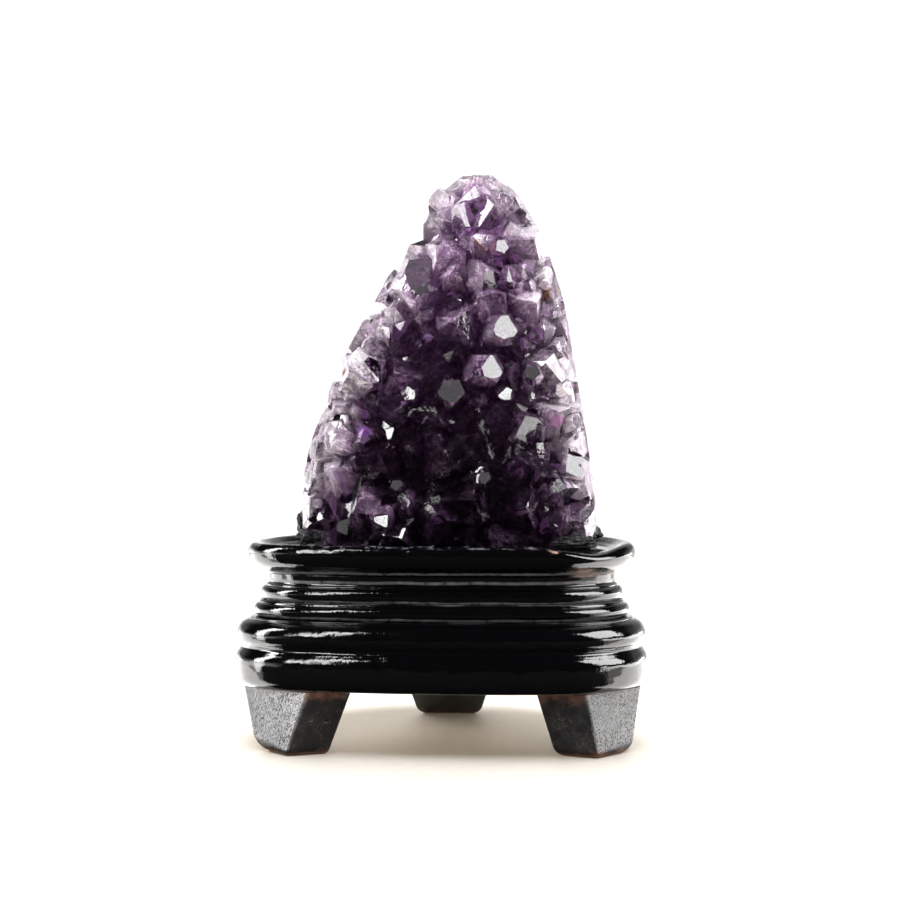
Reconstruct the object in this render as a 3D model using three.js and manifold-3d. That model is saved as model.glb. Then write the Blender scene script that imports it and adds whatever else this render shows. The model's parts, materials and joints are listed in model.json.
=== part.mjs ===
// Amethyst cluster, cut flat at its base, resting on a black lacquered wooden stand with three feet.
//
// Millimetres, +Z up. The crystals face -Y. The origin is on the table, under the middle of the stand.

import * as THREE from 'three';
import { mergeVertices } from 'three/addons/utils/BufferGeometryUtils.js';
import Module from 'manifold-3d';

const wasm = await Module();
wasm.setup();

// Overall sizes
const STAND_WIDTH = 120.3;
const STAND_DEPTH = 84;
const FIT_GAP = 0.3;              // between two pieces that rest on each other

// Heights above the table
const PLINTH_FLOOR = 17.6;        // underside of the plinth, top of the feet
const PLINTH_TOP = 36.8;
const WAIST_TOP = 49.3;
const TRAY_FLOOR = 56.5;          // bottom of the shallow recess that holds the stone
const RIM_TOP = 58.3;
const STONE_BASE = TRAY_FLOOR + FIT_GAP;

// The stand's widest outline, seen from above, anticlockwise from the middle of the bowed front
const PLAN_POINTS = [
  [8, -42], [27, -41.6], [41, -39.3], [51.5, -33.8], [58, -25.5], [60.1, -15],
  [57, 3], [45, 23], [26, 37], [0, 42], [-26, 37], [-45, 23], [-57, 3],
  [-60.1, -17], [-57.8, -28], [-50, -34.8], [-38, -38], [-16, -40.9],
];
const PLAN_STEPS = 54;

// Mouldings: how far the surface stands in from the widest outline, and its height
const PLINTH_PROFILE = [
  [3.2, PLINTH_FLOOR], [1.2, 18.1], [0.3, 19.9], [0, 23.2], [0.3, 26.2], [1.7, 28.6],
  [0.9, 30.4], [0.6, 32.2], [1.2, 34.3], [2.6, 36.0], [4.4, PLINTH_TOP],
];
const WAIST_PROFILE = [
  [6.8, PLINTH_TOP + FIT_GAP], [5.7, 37.9], [5.15, 39.4], [5.8, 41.0], [8.2, 41.7],
  [7.1, 42.8], [6.95, 44.0], [7.4, 45.6], [8.6, 46.6], [8.8, WAIST_TOP],
];
const TRAY_PROFILE = [
  [8.6, WAIST_TOP + FIT_GAP], [6.6, 50.9], [4.6, 53.2], [3.5, 55.8], [3.9, 57.4],
  [5.3, RIM_TOP], [7.4, 58.0], [9, 56.9], [10.6, TRAY_FLOOR],
];
const RIM_DIP = { at: [45, -33], radius: 11, depth: 2.6, from: 53.2 };  // the rim is carved lower here

// Feet: corners where each meets the plinth and at its sole, and how far each corner rounds under
const FEET = {
  foot_front_left: {
    top: [[-57.4, -23], [-36.6, -36], [-24.2, -35.5], [-36, -14]],
    sole: [[-52.2, -31], [-42.4, -38.6], [-30.8, -34.2], [-40, -21.5]],
    rounds: [5, 2, 1.2, 2],
  },
  foot_front_right: {
    top: [[57.8, -23], [40.8, -36], [26.8, -35.5], [37, -14]],
    sole: [[54.4, -29.5], [44, -38.4], [32.2, -34.2], [41, -21.5]],
    rounds: [3.6, 1.6, 2.4, 2],
  },
  foot_back: {
    top: [[16.6, 17], [-14.9, 17], [-9.5, 37], [12, 37]],
    sole: [[11, 23.4], [-9.3, 23.4], [-5.5, 33.5], [8, 33.5]],
    rounds: [2.4, 2.4, 2.4, 2.4],
  },
};
const ROUNDING_LEVELS = [0, 0.15, 0.5, 1];  // heights of the rounded part, as shares of it

// Stone: height, left edge, right edge, front and back of its outline
const STONE_OUTLINE = [
  [56.8, -42.4, 46.0, -23, 19],
  [68, -42.2, 45.6, -25, 19],
  [82, -40.8, 43.8, -25, 18],
  [96, -36.6, 41.8, -24, 17],
  [110, -31.2, 39.4, -23, 15],
  [124, -23.8, 37.2, -21.5, 13],
  [137, -16.2, 33.8, -20.2, 10.8],
  [142, -11.8, 32, -19.5, 9.6],
  [149, -8.4, 29.4, -18, 7.6],
  [155, -4.2, 26, -16.3, 5.2],
  [161.5, -3.4, 22, -14.2, 2],
  [167.5, 4, 15.6, -9.5, -3],
];
const OUTLINE_STEPS = 32;
const FRONT_SQUARENESS = 2.5;     // 2 is an ellipse, higher is squarer
const BACK_SQUARENESS = 3.2;
const NORMAL_STEP = 2;            // degrees and millimetres over which the surface's slope is taken

// Rock that the crystals grew on
const BED_DEPTH = 9;              // how far the rock lies under the crystal tips
const GROUND_BED_DEPTH = 1.5;     // and under the ground edges
const ROCK_ROUGHNESS = 1.1;
const ROCK_INSET = 0.4;           // how far the bare rock behind stands in from the outline
const ROCK_BARE_UNTIL = -0.75;    // where the rock is bare, and where it is covered: the cosine of
const ROCK_COVERED_FROM = -0.25;  // the angle from straight ahead
const ROCK_WAVES = [[0.41, 0.11], [0.23, -0.17]];  // radians per millimetre up and per degree round

// Crystals. The largest ones are placed by hand: sideways place, height and radius
const LARGE_CRYSTALS = [
  [15.5, 157, 7.5], [4.2, 156.5, 7], [10, 163, 6.5], [-1, 145, 9], [17.5, 144, 9], [27, 147, 8],
  [10.6, 129, 7.5], [13, 109, 9.5], [-14, 108, 8.5], [14.5, 120, 8], [-9, 133, 9.5], [-16, 121, 8.5],
  [-5, 118, 8.5], [3.5, 122, 8.5], [-27, 108, 8.5], [-2, 98, 8], [31, 111, 9], [28, 128, 8.5],
  [25.5, 95, 8.5], [35, 96, 8], [-23, 91, 7], [-33, 79, 8.5], [-18, 84, 10], [-1, 84.5, 10],
  [10.5, 90, 9], [23, 82.5, 9], [37, 74, 9], [-25.5, 67, 9.5], [-13, 73, 8.5], [-1, 66.5, 9.5],
  [11.5, 71, 10], [25, 68, 10], [36, 63, 8], [-34, 92, 7], [20, 107, 7], [4, 137, 7],
];
const SEED = 20731;
const CRYSTAL_TRIES = 3000;
const CRYSTAL_SPREAD = 106;       // degrees either side of straight ahead that crystals cover
const CRYSTAL_RADIUS = [7.5, 10.5];
const CRYSTAL_SPACING = 0.66;     // closest two crystals stand, as a share of their radii added
const POINT_HEIGHT = [0.76, 1];   // of the six-sided point, as a share of the radius
const POINT_LEAN = 0.3;           // how far the point is off the middle, as a share of the radius
const STRETCH = [0.88, 1.14];
const ROOT_DEPTH = 13;
const ROOT_TAPER = 0.8;
const TILT = 0.3;                 // how far an axis leans at random from straight out
const HEXAGON = 6;
const RIGHT_GROUND = [46, 66];    // degrees from straight ahead between which an edge turns ground
const LEFT_GROUND = [50, 70];
const LEFT_GROUND_FADES = { share: 0.6, from: 112, to: 140 };  // with height
const GROUND_AWAY = 5;            // how much of the crystals is ground off there
const TIP_PROUD = 1.2;            // tips stand out of the outline elsewhere
const OUTER_PROUD = 0.6;          // nothing stands further out of the outline than this

// Materials
function lacquer(color, roughness) {
  return new THREE.MeshStandardMaterial({ color, roughness, metalness: 0 });
}
const GLOSS_LACQUER = lacquer(0x0b0a0c, 0.08);
const SATIN_LACQUER = lacquer(0x2b2826, 0.4);
const AMETHYST = new THREE.MeshStandardMaterial({ color: 0x5b3a72, roughness: 0.1, metalness: 0 });

// Repeatable random numbers from 0 to 1, the Park-Miller way
function randomSource(seed) {
  let state = seed;
  return () => {
    state = (state * 16807) % 2147483647;
    return state / 2147483647;
  };
}

// A closed geometry through rings of equal length, listed from the bottom to the top
function loft(rings) {
  const steps = rings[0].length;
  const points = rings.flat();
  const faces = [];
  for (let level = 0; level + 1 < rings.length; level += 1) {
    for (let step = 0; step < steps; step += 1) {
      const a = level * steps + step;
      const b = level * steps + ((step + 1) % steps);
      faces.push(a, b, b + steps, a, b + steps, a + steps);
    }
  }
  const capCentre = (ring) => {
    const middle = ring.reduce((sum, point) => sum.add(point), new THREE.Vector3());
    return middle.divideScalar(ring.length);
  };
  const bottom = points.push(capCentre(rings[0])) - 1;
  const top = points.push(capCentre(rings.at(-1))) - 1;
  const last = (rings.length - 1) * steps;
  for (let step = 0; step < steps; step += 1) {
    const next = (step + 1) % steps;
    faces.push(bottom, next, step, top, last + step, last + next);
  }
  const geometry = new THREE.BufferGeometry().setFromPoints(points);
  geometry.setIndex(faces);
  return geometry;
}

// Geometry to solid and back
function solidOf(geometry) {
  const bare = geometry.clone();
  bare.deleteAttribute('normal');
  bare.deleteAttribute('uv');
  const merged = mergeVertices(bare, 1e-4);
  return new wasm.Manifold(new wasm.Mesh({
    numProp: 3,
    vertProperties: new Float32Array(merged.attributes.position.array),
    triVerts: new Uint32Array(merged.index.array),
  }));
}

function geometryOf(solid) {
  const mesh = solid.getMesh();
  const geometry = new THREE.BufferGeometry();
  geometry.setAttribute('position', new THREE.BufferAttribute(mesh.vertProperties, 3));
  geometry.setIndex(new THREE.BufferAttribute(mesh.triVerts, 1));
  return geometry;
}

// The outer skin of a solid: a pocket closed in between crystals is filled by leaving its walls out
function outerSkin(geometry) {
  const corner = geometry.index.array;
  const group = Array.from({ length: geometry.attributes.position.count }, (_, i) => i);
  const find = (i) => {
    while (group[i] !== i) {
      group[i] = group[group[i]];
      i = group[i];
    }
    return i;
  };
  for (let i = 0; i < corner.length; i += 3) {
    group[find(corner[i])] = find(corner[i + 1]);
    group[find(corner[i + 1])] = find(corner[i + 2]);
  }
  const facesOf = new Map();
  for (let i = 0; i < corner.length; i += 3) {
    const key = find(corner[i]);
    facesOf.set(key, [...(facesOf.get(key) ?? []), corner[i], corner[i + 1], corner[i + 2]]);
  }
  const largest = [...facesOf.values()].reduce((a, b) => (a.length >= b.length ? a : b));
  const skin = geometry.clone();
  skin.setIndex(largest);
  return skin;
}

// Stand: boards cut to the plan outline, with a moulded edge
const plan = planOutline();

function planOutline() {
  const corners = PLAN_POINTS.map(([x, y]) => new THREE.Vector3(x, y, 0));
  const curve = new THREE.CatmullRomCurve3(corners, true, 'centripetal');
  const ring = curve.getSpacedPoints(PLAN_STEPS).slice(0, PLAN_STEPS);
  const box = new THREE.Box3().setFromPoints(ring);
  const size = box.getSize(new THREE.Vector3());
  const middle = box.getCenter(new THREE.Vector3());
  return ring.map((point) => new THREE.Vector3(
    (point.x - middle.x) * STAND_WIDTH / size.x,
    (point.y - middle.y) * STAND_DEPTH / size.y,
    0,
  ));
}

function mouldedBoard(profile, dipAt = () => 0) {
  return loft(profile.map(([inset, height]) => plan.map((point) => {
    const x = point.x * (1 - 2 * inset / STAND_WIDTH);
    const y = point.y * (1 - 2 * inset / STAND_DEPTH);
    return new THREE.Vector3(x, y, height - dipAt(x, y, height));
  })));
}

function rimDip(x, y, height) {
  const away = Math.hypot(x - RIM_DIP.at[0], y - RIM_DIP.at[1]) / RIM_DIP.radius;
  const share = Math.max(0, (height - RIM_DIP.from) / (RIM_TOP - RIM_DIP.from));
  return RIM_DIP.depth * share * Math.exp(-away * away);
}

function footGeometry({ top, sole, rounds }) {
  const clockwise = THREE.ShapeUtils.isClockWise(top.map(([x, y]) => new THREE.Vector2(x, y)));
  const centre = new THREE.Vector2();
  sole.forEach(([x, y]) => centre.add(new THREE.Vector2(x, y).divideScalar(sole.length)));
  const footTop = PLINTH_FLOOR - FIT_GAP;
  const ring = (height) => {
    const corners = sole.map((corner, i) => {
      const straight = new THREE.Vector2(...corner);
      straight.lerp(new THREE.Vector2(...top[i]), height / footTop);
      const under = 1 - Math.min(height / rounds[i], 1);
      const drawnIn = rounds[i] * (1 - Math.sqrt(1 - under ** 2));
      const inward = centre.clone().sub(straight).setLength(drawnIn);
      return new THREE.Vector3(straight.x + inward.x, straight.y + inward.y, height);
    });
    return clockwise ? corners.reverse() : corners;
  };
  const knee = Math.max(...rounds);
  return loft([...ROUNDING_LEVELS.map((share) => ring(share * knee)), ring(footTop)]);
}

// Stone: the outline at any height, smoothed between the listed heights
function outlineAt(height) {
  const last = STONE_OUTLINE.length - 1;
  let i = 0;
  while (i < last - 1 && height > STONE_OUTLINE[i + 1][0]) i += 1;
  const [before, from, to, after] = [
    STONE_OUTLINE[Math.max(i - 1, 0)], STONE_OUTLINE[i],
    STONE_OUTLINE[i + 1], STONE_OUTLINE[Math.min(i + 2, last)],
  ];
  const span = to[0] - from[0];
  const t = THREE.MathUtils.clamp((height - from[0]) / span, 0, 1);
  return [1, 2, 3, 4].map((side) => {
    const slopeFrom = (to[side] - before[side]) / (to[0] - before[0]) * span;
    const slopeTo = (after[side] - from[side]) / (after[0] - from[0]) * span;
    return (2 * t ** 3 - 3 * t ** 2 + 1) * from[side] + (t ** 3 - 2 * t ** 2 + t) * slopeFrom
      + (3 * t ** 2 - 2 * t ** 3) * to[side] + (t ** 3 - t ** 2) * slopeTo;
  });
}

// A point on the stone's outer surface. Angle 0 looks straight ahead (-Y), 90 is the right side (+X).
function stonePoint(angle, height, inset = 0) {
  const [left, right, front, back] = outlineAt(height);
  const turn = THREE.MathUtils.degToRad(angle);
  const across = Math.sin(turn);
  const ahead = Math.cos(turn);
  const power = 2 / (ahead > 0 ? FRONT_SQUARENESS : BACK_SQUARENESS);
  const middleX = (left + right) / 2;
  const middleY = (front + back) / 2;
  const halfWidth = Math.max((right - left) / 2 - inset, 1);
  const halfDepth = Math.max((back - front) / 2 - inset, 1);
  return new THREE.Vector3(
    middleX + halfWidth * Math.sign(across) * Math.abs(across) ** power,
    middleY - halfDepth * Math.sign(ahead) * Math.abs(ahead) ** power,
    height,
  );
}

function stoneNormal(angle, height) {
  const step = NORMAL_STEP;
  const along = stonePoint(angle + step, height).sub(stonePoint(angle - step, height));
  const up = stonePoint(angle, height + step).sub(stonePoint(angle, height - step));
  return along.cross(up).normalize();
}

function stoneShell(insetAt) {
  const heights = STONE_OUTLINE.map(([height]) => height);
  return loft(heights.map((height) => Array.from({ length: OUTLINE_STEPS }, (_, step) => {
    const angle = step * 360 / OUTLINE_STEPS - 180;
    return stonePoint(angle, height, insetAt(angle, height));
  })));
}

// 1 where the stone's edge is ground smooth, 0 where the crystals are whole
function groundShare(angle, height) {
  if (angle > 0) return THREE.MathUtils.smoothstep(angle, ...RIGHT_GROUND);
  const { share, from, to } = LEFT_GROUND_FADES;
  const kept = 1 - share * THREE.MathUtils.smoothstep(height, from, to);
  return kept * THREE.MathUtils.smoothstep(-angle, ...LEFT_GROUND);
}

// Rock lies deep under the crystals in front, and comes out rough at the back
function rockInset(angle, height) {
  const facing = Math.cos(THREE.MathUtils.degToRad(angle));
  const covered = THREE.MathUtils.smoothstep(facing, ROCK_BARE_UNTIL, ROCK_COVERED_FROM);
  const waves = ROCK_WAVES.map(([up, round]) => (1 + Math.sin(height * up + angle * round)) / 2);
  const rough = ROCK_ROUGHNESS * (waves[0] + waves[1]);
  const bed = THREE.MathUtils.lerp(BED_DEPTH, GROUND_BED_DEPTH, groundShare(angle, height));
  return ROCK_INSET + bed * covered + rough * (1 - covered);
}

// One quartz crystal: a six-sided prism with a six-sided point, leaning and uneven as grown ones are
function crystalGeometry({ radius, point, lean, stretch }) {
  const profile = [
    new THREE.Vector2(0, -ROOT_DEPTH),
    new THREE.Vector2(radius * ROOT_TAPER, -ROOT_DEPTH),
    new THREE.Vector2(radius, -point),
    new THREE.Vector2(0, 0),
  ];
  const geometry = new THREE.LatheGeometry(profile, HEXAGON);
  geometry.rotateX(Math.PI / 2);
  const position = geometry.attributes.position;
  for (let i = 0; i < position.count; i += 1) {
    const apexShare = 1 + position.getZ(i) / point;
    const shift = Math.max(apexShare, 0);
    position.setXYZ(
      i,
      position.getX(i) * stretch + lean[0] * shift,
      position.getY(i) / stretch + lean[1] * shift,
      position.getZ(i),
    );
  }
  return geometry;
}

// The angle on the front of the stone that lies a given way to the side at a height
function angleAt(x, height) {
  const [left, right] = outlineAt(height);
  const share = (x - (left + right) / 2) / ((right - left) / 2);
  const across = Math.sign(share) * Math.min(Math.abs(share), 1) ** (FRONT_SQUARENESS / 2);
  return THREE.MathUtils.radToDeg(Math.asin(across));
}

// Crystals are set one by one wherever there is still room between those already set
function growCrystals() {
  const random = randomSource(SEED);
  const between = (low, high) => low + (high - low) * random();
  const crystals = [];
  const setCrystal = (angle, height, radius) => {
    const proud = THREE.MathUtils.lerp(TIP_PROUD, GROUND_AWAY, groundShare(angle, height));
    const tip = stonePoint(angle, height, -proud);
    const free = crystals.every((other) => (
      other.tip.distanceTo(tip) > CRYSTAL_SPACING * (other.radius + radius)
    ));
    if (!free) return;
    const axis = stoneNormal(angle, height)
      .add(new THREE.Vector3(between(-TILT, TILT), between(-TILT, TILT), between(-TILT, TILT)))
      .normalize();
    crystals.push({
      tip,
      axis,
      radius,
      point: radius * between(...POINT_HEIGHT),
      lean: [POINT_LEAN, POINT_LEAN].map((most) => between(-most, most) * radius),
      stretch: between(...STRETCH),
      spin: between(0, Math.PI / 3),
    });
  };
  LARGE_CRYSTALS.forEach(([x, height, radius]) => setCrystal(angleAt(x, height), height, radius));
  const [lowest, highest] = [STONE_OUTLINE[0][0] - 1, STONE_OUTLINE.at(-1)[0]];
  for (let i = 0; i < CRYSTAL_TRIES; i += 1) {
    const height = between(lowest, highest);
    const angle = between(-CRYSTAL_SPREAD, CRYSTAL_SPREAD);
    setCrystal(angle, height, between(...CRYSTAL_RADIUS));
  }
  return crystals;
}

function crystalSolid(crystal) {
  const upright = new THREE.Vector3(0, 0, 1);
  const turn = new THREE.Quaternion().setFromUnitVectors(upright, crystal.axis);
  const spin = new THREE.Quaternion().setFromAxisAngle(upright, crystal.spin);
  const placed = new THREE.Matrix4().compose(
    crystal.tip, turn.multiply(spin), new THREE.Vector3(1, 1, 1),
  );
  return solidOf(crystalGeometry(crystal).applyMatrix4(placed));
}

function clusterGeometry() {
  const rock = solidOf(stoneShell(rockInset));
  const outer = solidOf(stoneShell(() => -OUTER_PROUD));
  const crystals = growCrystals().map(crystalSolid);
  const grown = crystals.reduce((whole, crystal) => whole.add(crystal), rock);
  return outerSkin(geometryOf(grown.intersect(outer)));
}

// The object
const stand = new THREE.Group();
const stone = new THREE.Group();
const object = new THREE.Group();
object.add(stand, stone);

function addPiece(group, name, geometry, material) {
  geometry.computeVertexNormals();
  const mesh = new THREE.Mesh(geometry, material.clone());
  mesh.name = name;
  group.add(mesh);
}

Object.entries(FEET).forEach(([name, foot]) => addPiece(stand, name, footGeometry(foot), SATIN_LACQUER));
addPiece(stand, 'plinth', mouldedBoard(PLINTH_PROFILE), GLOSS_LACQUER);
addPiece(stand, 'waist', mouldedBoard(WAIST_PROFILE), GLOSS_LACQUER);
addPiece(stand, 'top_tray', mouldedBoard(TRAY_PROFILE, rimDip), GLOSS_LACQUER);
addPiece(stone, 'amethyst_cluster', clusterGeometry(), AMETHYST);

export default object;
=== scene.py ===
"""Amethyst cluster on a black lacquered three-legged stand: the looks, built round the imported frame.

Sizes in the tables below are millimetres, as in the CAD source, and every mesh is made in metres.
"""

import itertools
import json
import math

import bmesh
import bpy
import numpy as np
from mathutils import Matrix, Quaternion, Vector, noise
from mathutils.bvhtree import BVHTree

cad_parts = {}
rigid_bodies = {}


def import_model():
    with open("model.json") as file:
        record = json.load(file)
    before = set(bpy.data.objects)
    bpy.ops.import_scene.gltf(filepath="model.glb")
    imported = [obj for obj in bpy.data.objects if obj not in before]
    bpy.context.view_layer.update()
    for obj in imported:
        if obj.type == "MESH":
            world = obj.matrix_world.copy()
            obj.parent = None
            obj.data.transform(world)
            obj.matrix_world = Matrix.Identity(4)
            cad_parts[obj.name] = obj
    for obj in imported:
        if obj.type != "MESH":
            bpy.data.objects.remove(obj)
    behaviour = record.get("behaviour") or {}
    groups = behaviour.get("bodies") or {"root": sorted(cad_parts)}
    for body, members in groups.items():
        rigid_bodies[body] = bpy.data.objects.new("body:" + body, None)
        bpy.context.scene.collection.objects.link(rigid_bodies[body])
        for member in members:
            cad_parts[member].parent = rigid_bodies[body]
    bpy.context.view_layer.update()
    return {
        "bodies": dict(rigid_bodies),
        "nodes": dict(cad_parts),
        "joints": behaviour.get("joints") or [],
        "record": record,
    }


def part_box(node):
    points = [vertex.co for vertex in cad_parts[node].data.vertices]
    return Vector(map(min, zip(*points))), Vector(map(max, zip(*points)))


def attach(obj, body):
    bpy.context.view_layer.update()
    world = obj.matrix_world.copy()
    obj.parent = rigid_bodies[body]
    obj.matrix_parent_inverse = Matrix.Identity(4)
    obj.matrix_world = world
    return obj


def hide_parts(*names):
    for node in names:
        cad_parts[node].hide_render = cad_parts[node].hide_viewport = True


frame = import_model()

MM = 0.001

# ---- sizes read from the frame


def node_box(node):
    """A CAD node's lowest and highest corner, in millimetres."""
    low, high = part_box(node)
    return low / MM, high / MM


PLINTH_LOW, PLINTH_HIGH = node_box("plinth")
WAIST_LOW, WAIST_HIGH = node_box("waist")
TRAY_LOW, TRAY_HIGH = node_box("top_tray")
STAND_HALF_WIDTH = PLINTH_HIGH.x
STAND_HALF_DEPTH = PLINTH_HIGH.y

# ---- meshes

CURVE_SAMPLES = 60                 # points between two given ones, before a closed curve is spaced evenly


def add_object(name, data):
    """A new object in the scene."""
    piece = bpy.data.objects.new(name, data)
    bpy.context.scene.collection.objects.link(piece)
    return piece


def new_object(name, points, faces, smooth=True):
    """A mesh object from points in millimetres."""
    mesh = bpy.data.meshes.new(name)
    mesh.from_pydata([tuple(float(c) * MM for c in point) for point in points], [], faces)
    mesh.validate()
    if smooth:
        mesh.shade_smooth()
    else:
        mesh.shade_flat()
    return add_object(name, mesh)


def loft(rings):
    """Points and faces of a closed solid through rings of equal length, from the bottom to the top."""
    steps = len(rings[0])
    points = [point for ring in rings for point in ring]
    faces = []
    for level, step in itertools.product(range(len(rings) - 1), range(steps)):
        a = level * steps + step
        b = level * steps + (step + 1) % steps
        faces.append((a, b, b + steps, a + steps))
    faces.append(tuple(reversed(range(steps))))
    last = (len(rings) - 1) * steps
    faces.append(tuple(range(last, last + steps)))
    return points, faces


def unit(vector):
    return vector / np.linalg.norm(vector)


def sweep_between(a, b, c, d, samples):
    """Points from b towards c on the Catmull-Rom curve through a, b, c and d."""
    return [
        0.5 * (2 * b + (c - a) * t + (2 * a - 5 * b + 4 * c - d) * t ** 2 + (3 * b - a - 3 * c + d) * t ** 3)
        for t in np.linspace(0, 1, samples, endpoint=False)
    ]


def open_curve(points, samples):
    """A smooth curve through a short list of points, straight if there are only two."""
    p = [np.array(point, float) for point in points]
    if len(p) == 2:
        return p
    p = [2 * p[0] - p[1], *p, 2 * p[-1] - p[-2]]
    curve = []
    for i in range(1, len(p) - 2):
        curve += sweep_between(*p[i - 1:i + 3], samples)
    return curve + [p[-2]]


def closed_curve(points, steps):
    """Evenly spaced points on a closed smooth curve through the points."""
    p = [np.array(point, float) for point in points]
    dense = []
    for i in range(len(p)):
        dense += sweep_between(p[i - 1], p[i], p[(i + 1) % len(p)], p[(i + 2) % len(p)], CURVE_SAMPLES)
    dense = np.array(dense + [dense[0]])
    length = np.concatenate([[0], np.cumsum(np.linalg.norm(np.diff(dense, axis=0), axis=1))])
    at = np.linspace(0, length[-1], steps, endpoint=False)
    return np.stack([np.interp(at, length, dense[:, axis]) for axis in (0, 1)], axis=1)


# ---- stand: carved boards

# The stand's widest outline, seen from above, anticlockwise from the middle of the bowed front
PLAN_POINTS = [
    (8, -42), (27, -41.6), (41, -39.3), (51.5, -33.8), (58, -25.5), (60.1, -15),
    (57, 3), (45, 23), (26, 37), (0, 42), (-26, 37), (-45, 23), (-57, 3),
    (-60.1, -17), (-57.8, -28), (-50, -34.8), (-38, -38), (-16, -40.9),
]
PLAN_STEPS = 420

# Mouldings: how far the surface stands in from the widest outline, and its height.
# Each stroke is one smooth sweep, and strokes meet in a crisp line.
PLINTH_STROKES = [
    [(9.0, PLINTH_LOW.z), (3.2, PLINTH_LOW.z)],
    [(3.2, PLINTH_LOW.z), (1.5, 17.9), (0.4, 19.2), (0.05, 21.5), (0, 24.4), (0.35, 26.4), (1.2, 27.8),
     (1.75, 28.7), (1.4, 29.7), (0.8, 30.8), (0.6, 32.3), (0.9, 33.9), (1.9, 35.4), (3.4, 36.2), (4.3, 36.4)],
    [(4.3, 36.4), (4.5, 36.9), (6.4, PLINTH_HIGH.z + 0.2)],
]
WAIST_STROKES = [
    [(8.0, WAIST_LOW.z - 0.1), (6.4, WAIST_LOW.z - 0.1)],
    [(6.4, WAIST_LOW.z - 0.1), (5.6, 37.6), (5.15, 38.7), (5.2, 39.7), (5.8, 40.6), (6.6, 40.9)],
    [(6.6, 40.9), (6.75, 41.4), (7.2, 41.7), (8.2, 41.75)],
    [(8.2, 41.75), (7.4, 42.2), (7.0, 43.2), (6.95, 44.2), (7.3, 45.1), (8.0, 45.7), (8.5, 45.8)],
    [(8.5, 45.8), (8.6, 46.3), (9.1, 46.7), (9.2, 47.6), (9.1, WAIST_HIGH.z + 0.2)],
]
TRAY_STROKES = [
    [(9.6, TRAY_LOW.z - 0.1), (8.9, TRAY_LOW.z - 0.1)],
    [(8.9, TRAY_LOW.z - 0.1), (8.4, 49.7), (7.0, 50.3), (5.4, 51.3), (4.3, 52.6), (3.7, 54.1), (3.5, 55.7),
     (3.8, 57.1), (4.6, 58.0), (5.7, TRAY_HIGH.z), (6.9, 58.1), (8.1, 57.5), (9.2, 56.8), (10.6, 56.5)],
    [(10.6, 56.5), (16, 56.5), (22, 56.5)],
]
STROKE_SAMPLES = 7
# Where the tray's rim dips, and small nicks along its front: place, radius and depth
RIM_DIPS = [
    ((45, -33), 11, 2.6), ((-13, -36.6), 1.3, 0.4), ((-9.5, -36.9), 1.6, 0.55), ((-4, -36.9), 1.2, 0.4),
    ((1.5, -37), 1.7, 0.5), ((4.6, -37), 1.2, 0.45), ((15.5, -36.8), 1.4, 0.5), ((20, -36.6), 1.5, 0.4),
    ((32, -35.4), 2.0, 0.7), ((-31, -34.6), 1.3, 0.3),
]
RIM_DIPS_ABOVE = 53.2
# The unevenness of a hand-carved edge: its height, its length, and how far the whole edge stands in for it
CARVED_WAVE = 0.16
CARVED_LENGTH = 15
CARVED_INSET = 0.6 * CARVED_WAVE


def plan_outline():
    """The widest outline, fitted to the plinth's box."""
    ring = closed_curve(PLAN_POINTS, PLAN_STEPS)
    low, high = ring.min(0), ring.max(0)
    half = np.array([STAND_HALF_WIDTH, STAND_HALF_DEPTH])
    return (ring - (low + high) / 2) / ((high - low) / 2) * half


def hand_carved(x, y, height):
    """How far a hand-carved edge stands out at a point, in millimetres."""
    slow = noise.noise(Vector((x, y, height)) / CARVED_LENGTH)
    fast = noise.noise(Vector((x, y, height * 2.2)) / (CARVED_LENGTH / 4) + Vector((7, 3, 1)))
    return CARVED_WAVE * (slow + 0.35 * fast) - CARVED_INSET


def rim_dip(x, y, height):
    """How far the tray's rim is worn down at a point, in millimetres."""
    share = max(0.0, (height - RIM_DIPS_ABOVE) / (TRAY_HIGH.z - RIM_DIPS_ABOVE))
    return share * sum(
        depth * math.exp(-((x - at[0]) ** 2 + (y - at[1]) ** 2) / radius ** 2)
        for at, radius, depth in RIM_DIPS
    )


def carved_board(name, strokes, dip=lambda x, y, height: 0.0):
    """A board with a moulded edge, swept round the plan outline."""
    plan = plan_outline()
    profile = []
    for stroke in strokes:
        swept = open_curve(stroke, STROKE_SAMPLES)
        profile += swept if not profile else swept[1:]
    rings = []
    for inset, height in profile:
        shrink = np.array([1 - inset / STAND_HALF_WIDTH, 1 - inset / STAND_HALF_DEPTH])
        flat = plan * shrink
        ahead = np.roll(flat, -1, axis=0) - np.roll(flat, 1, axis=0)
        outward = np.stack([ahead[:, 1], -ahead[:, 0]], axis=1)
        outward /= np.linalg.norm(outward, axis=1, keepdims=True)
        ring = []
        for (x, y), (nx, ny) in zip(flat, outward):
            wave = hand_carved(x, y, height)
            ring.append((x + nx * wave, y + ny * wave, height - dip(x, y, height)))
        rings.append(ring)
    points, faces = loft(rings)
    return new_object(name, points, faces)


# ---- stand: feet

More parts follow.
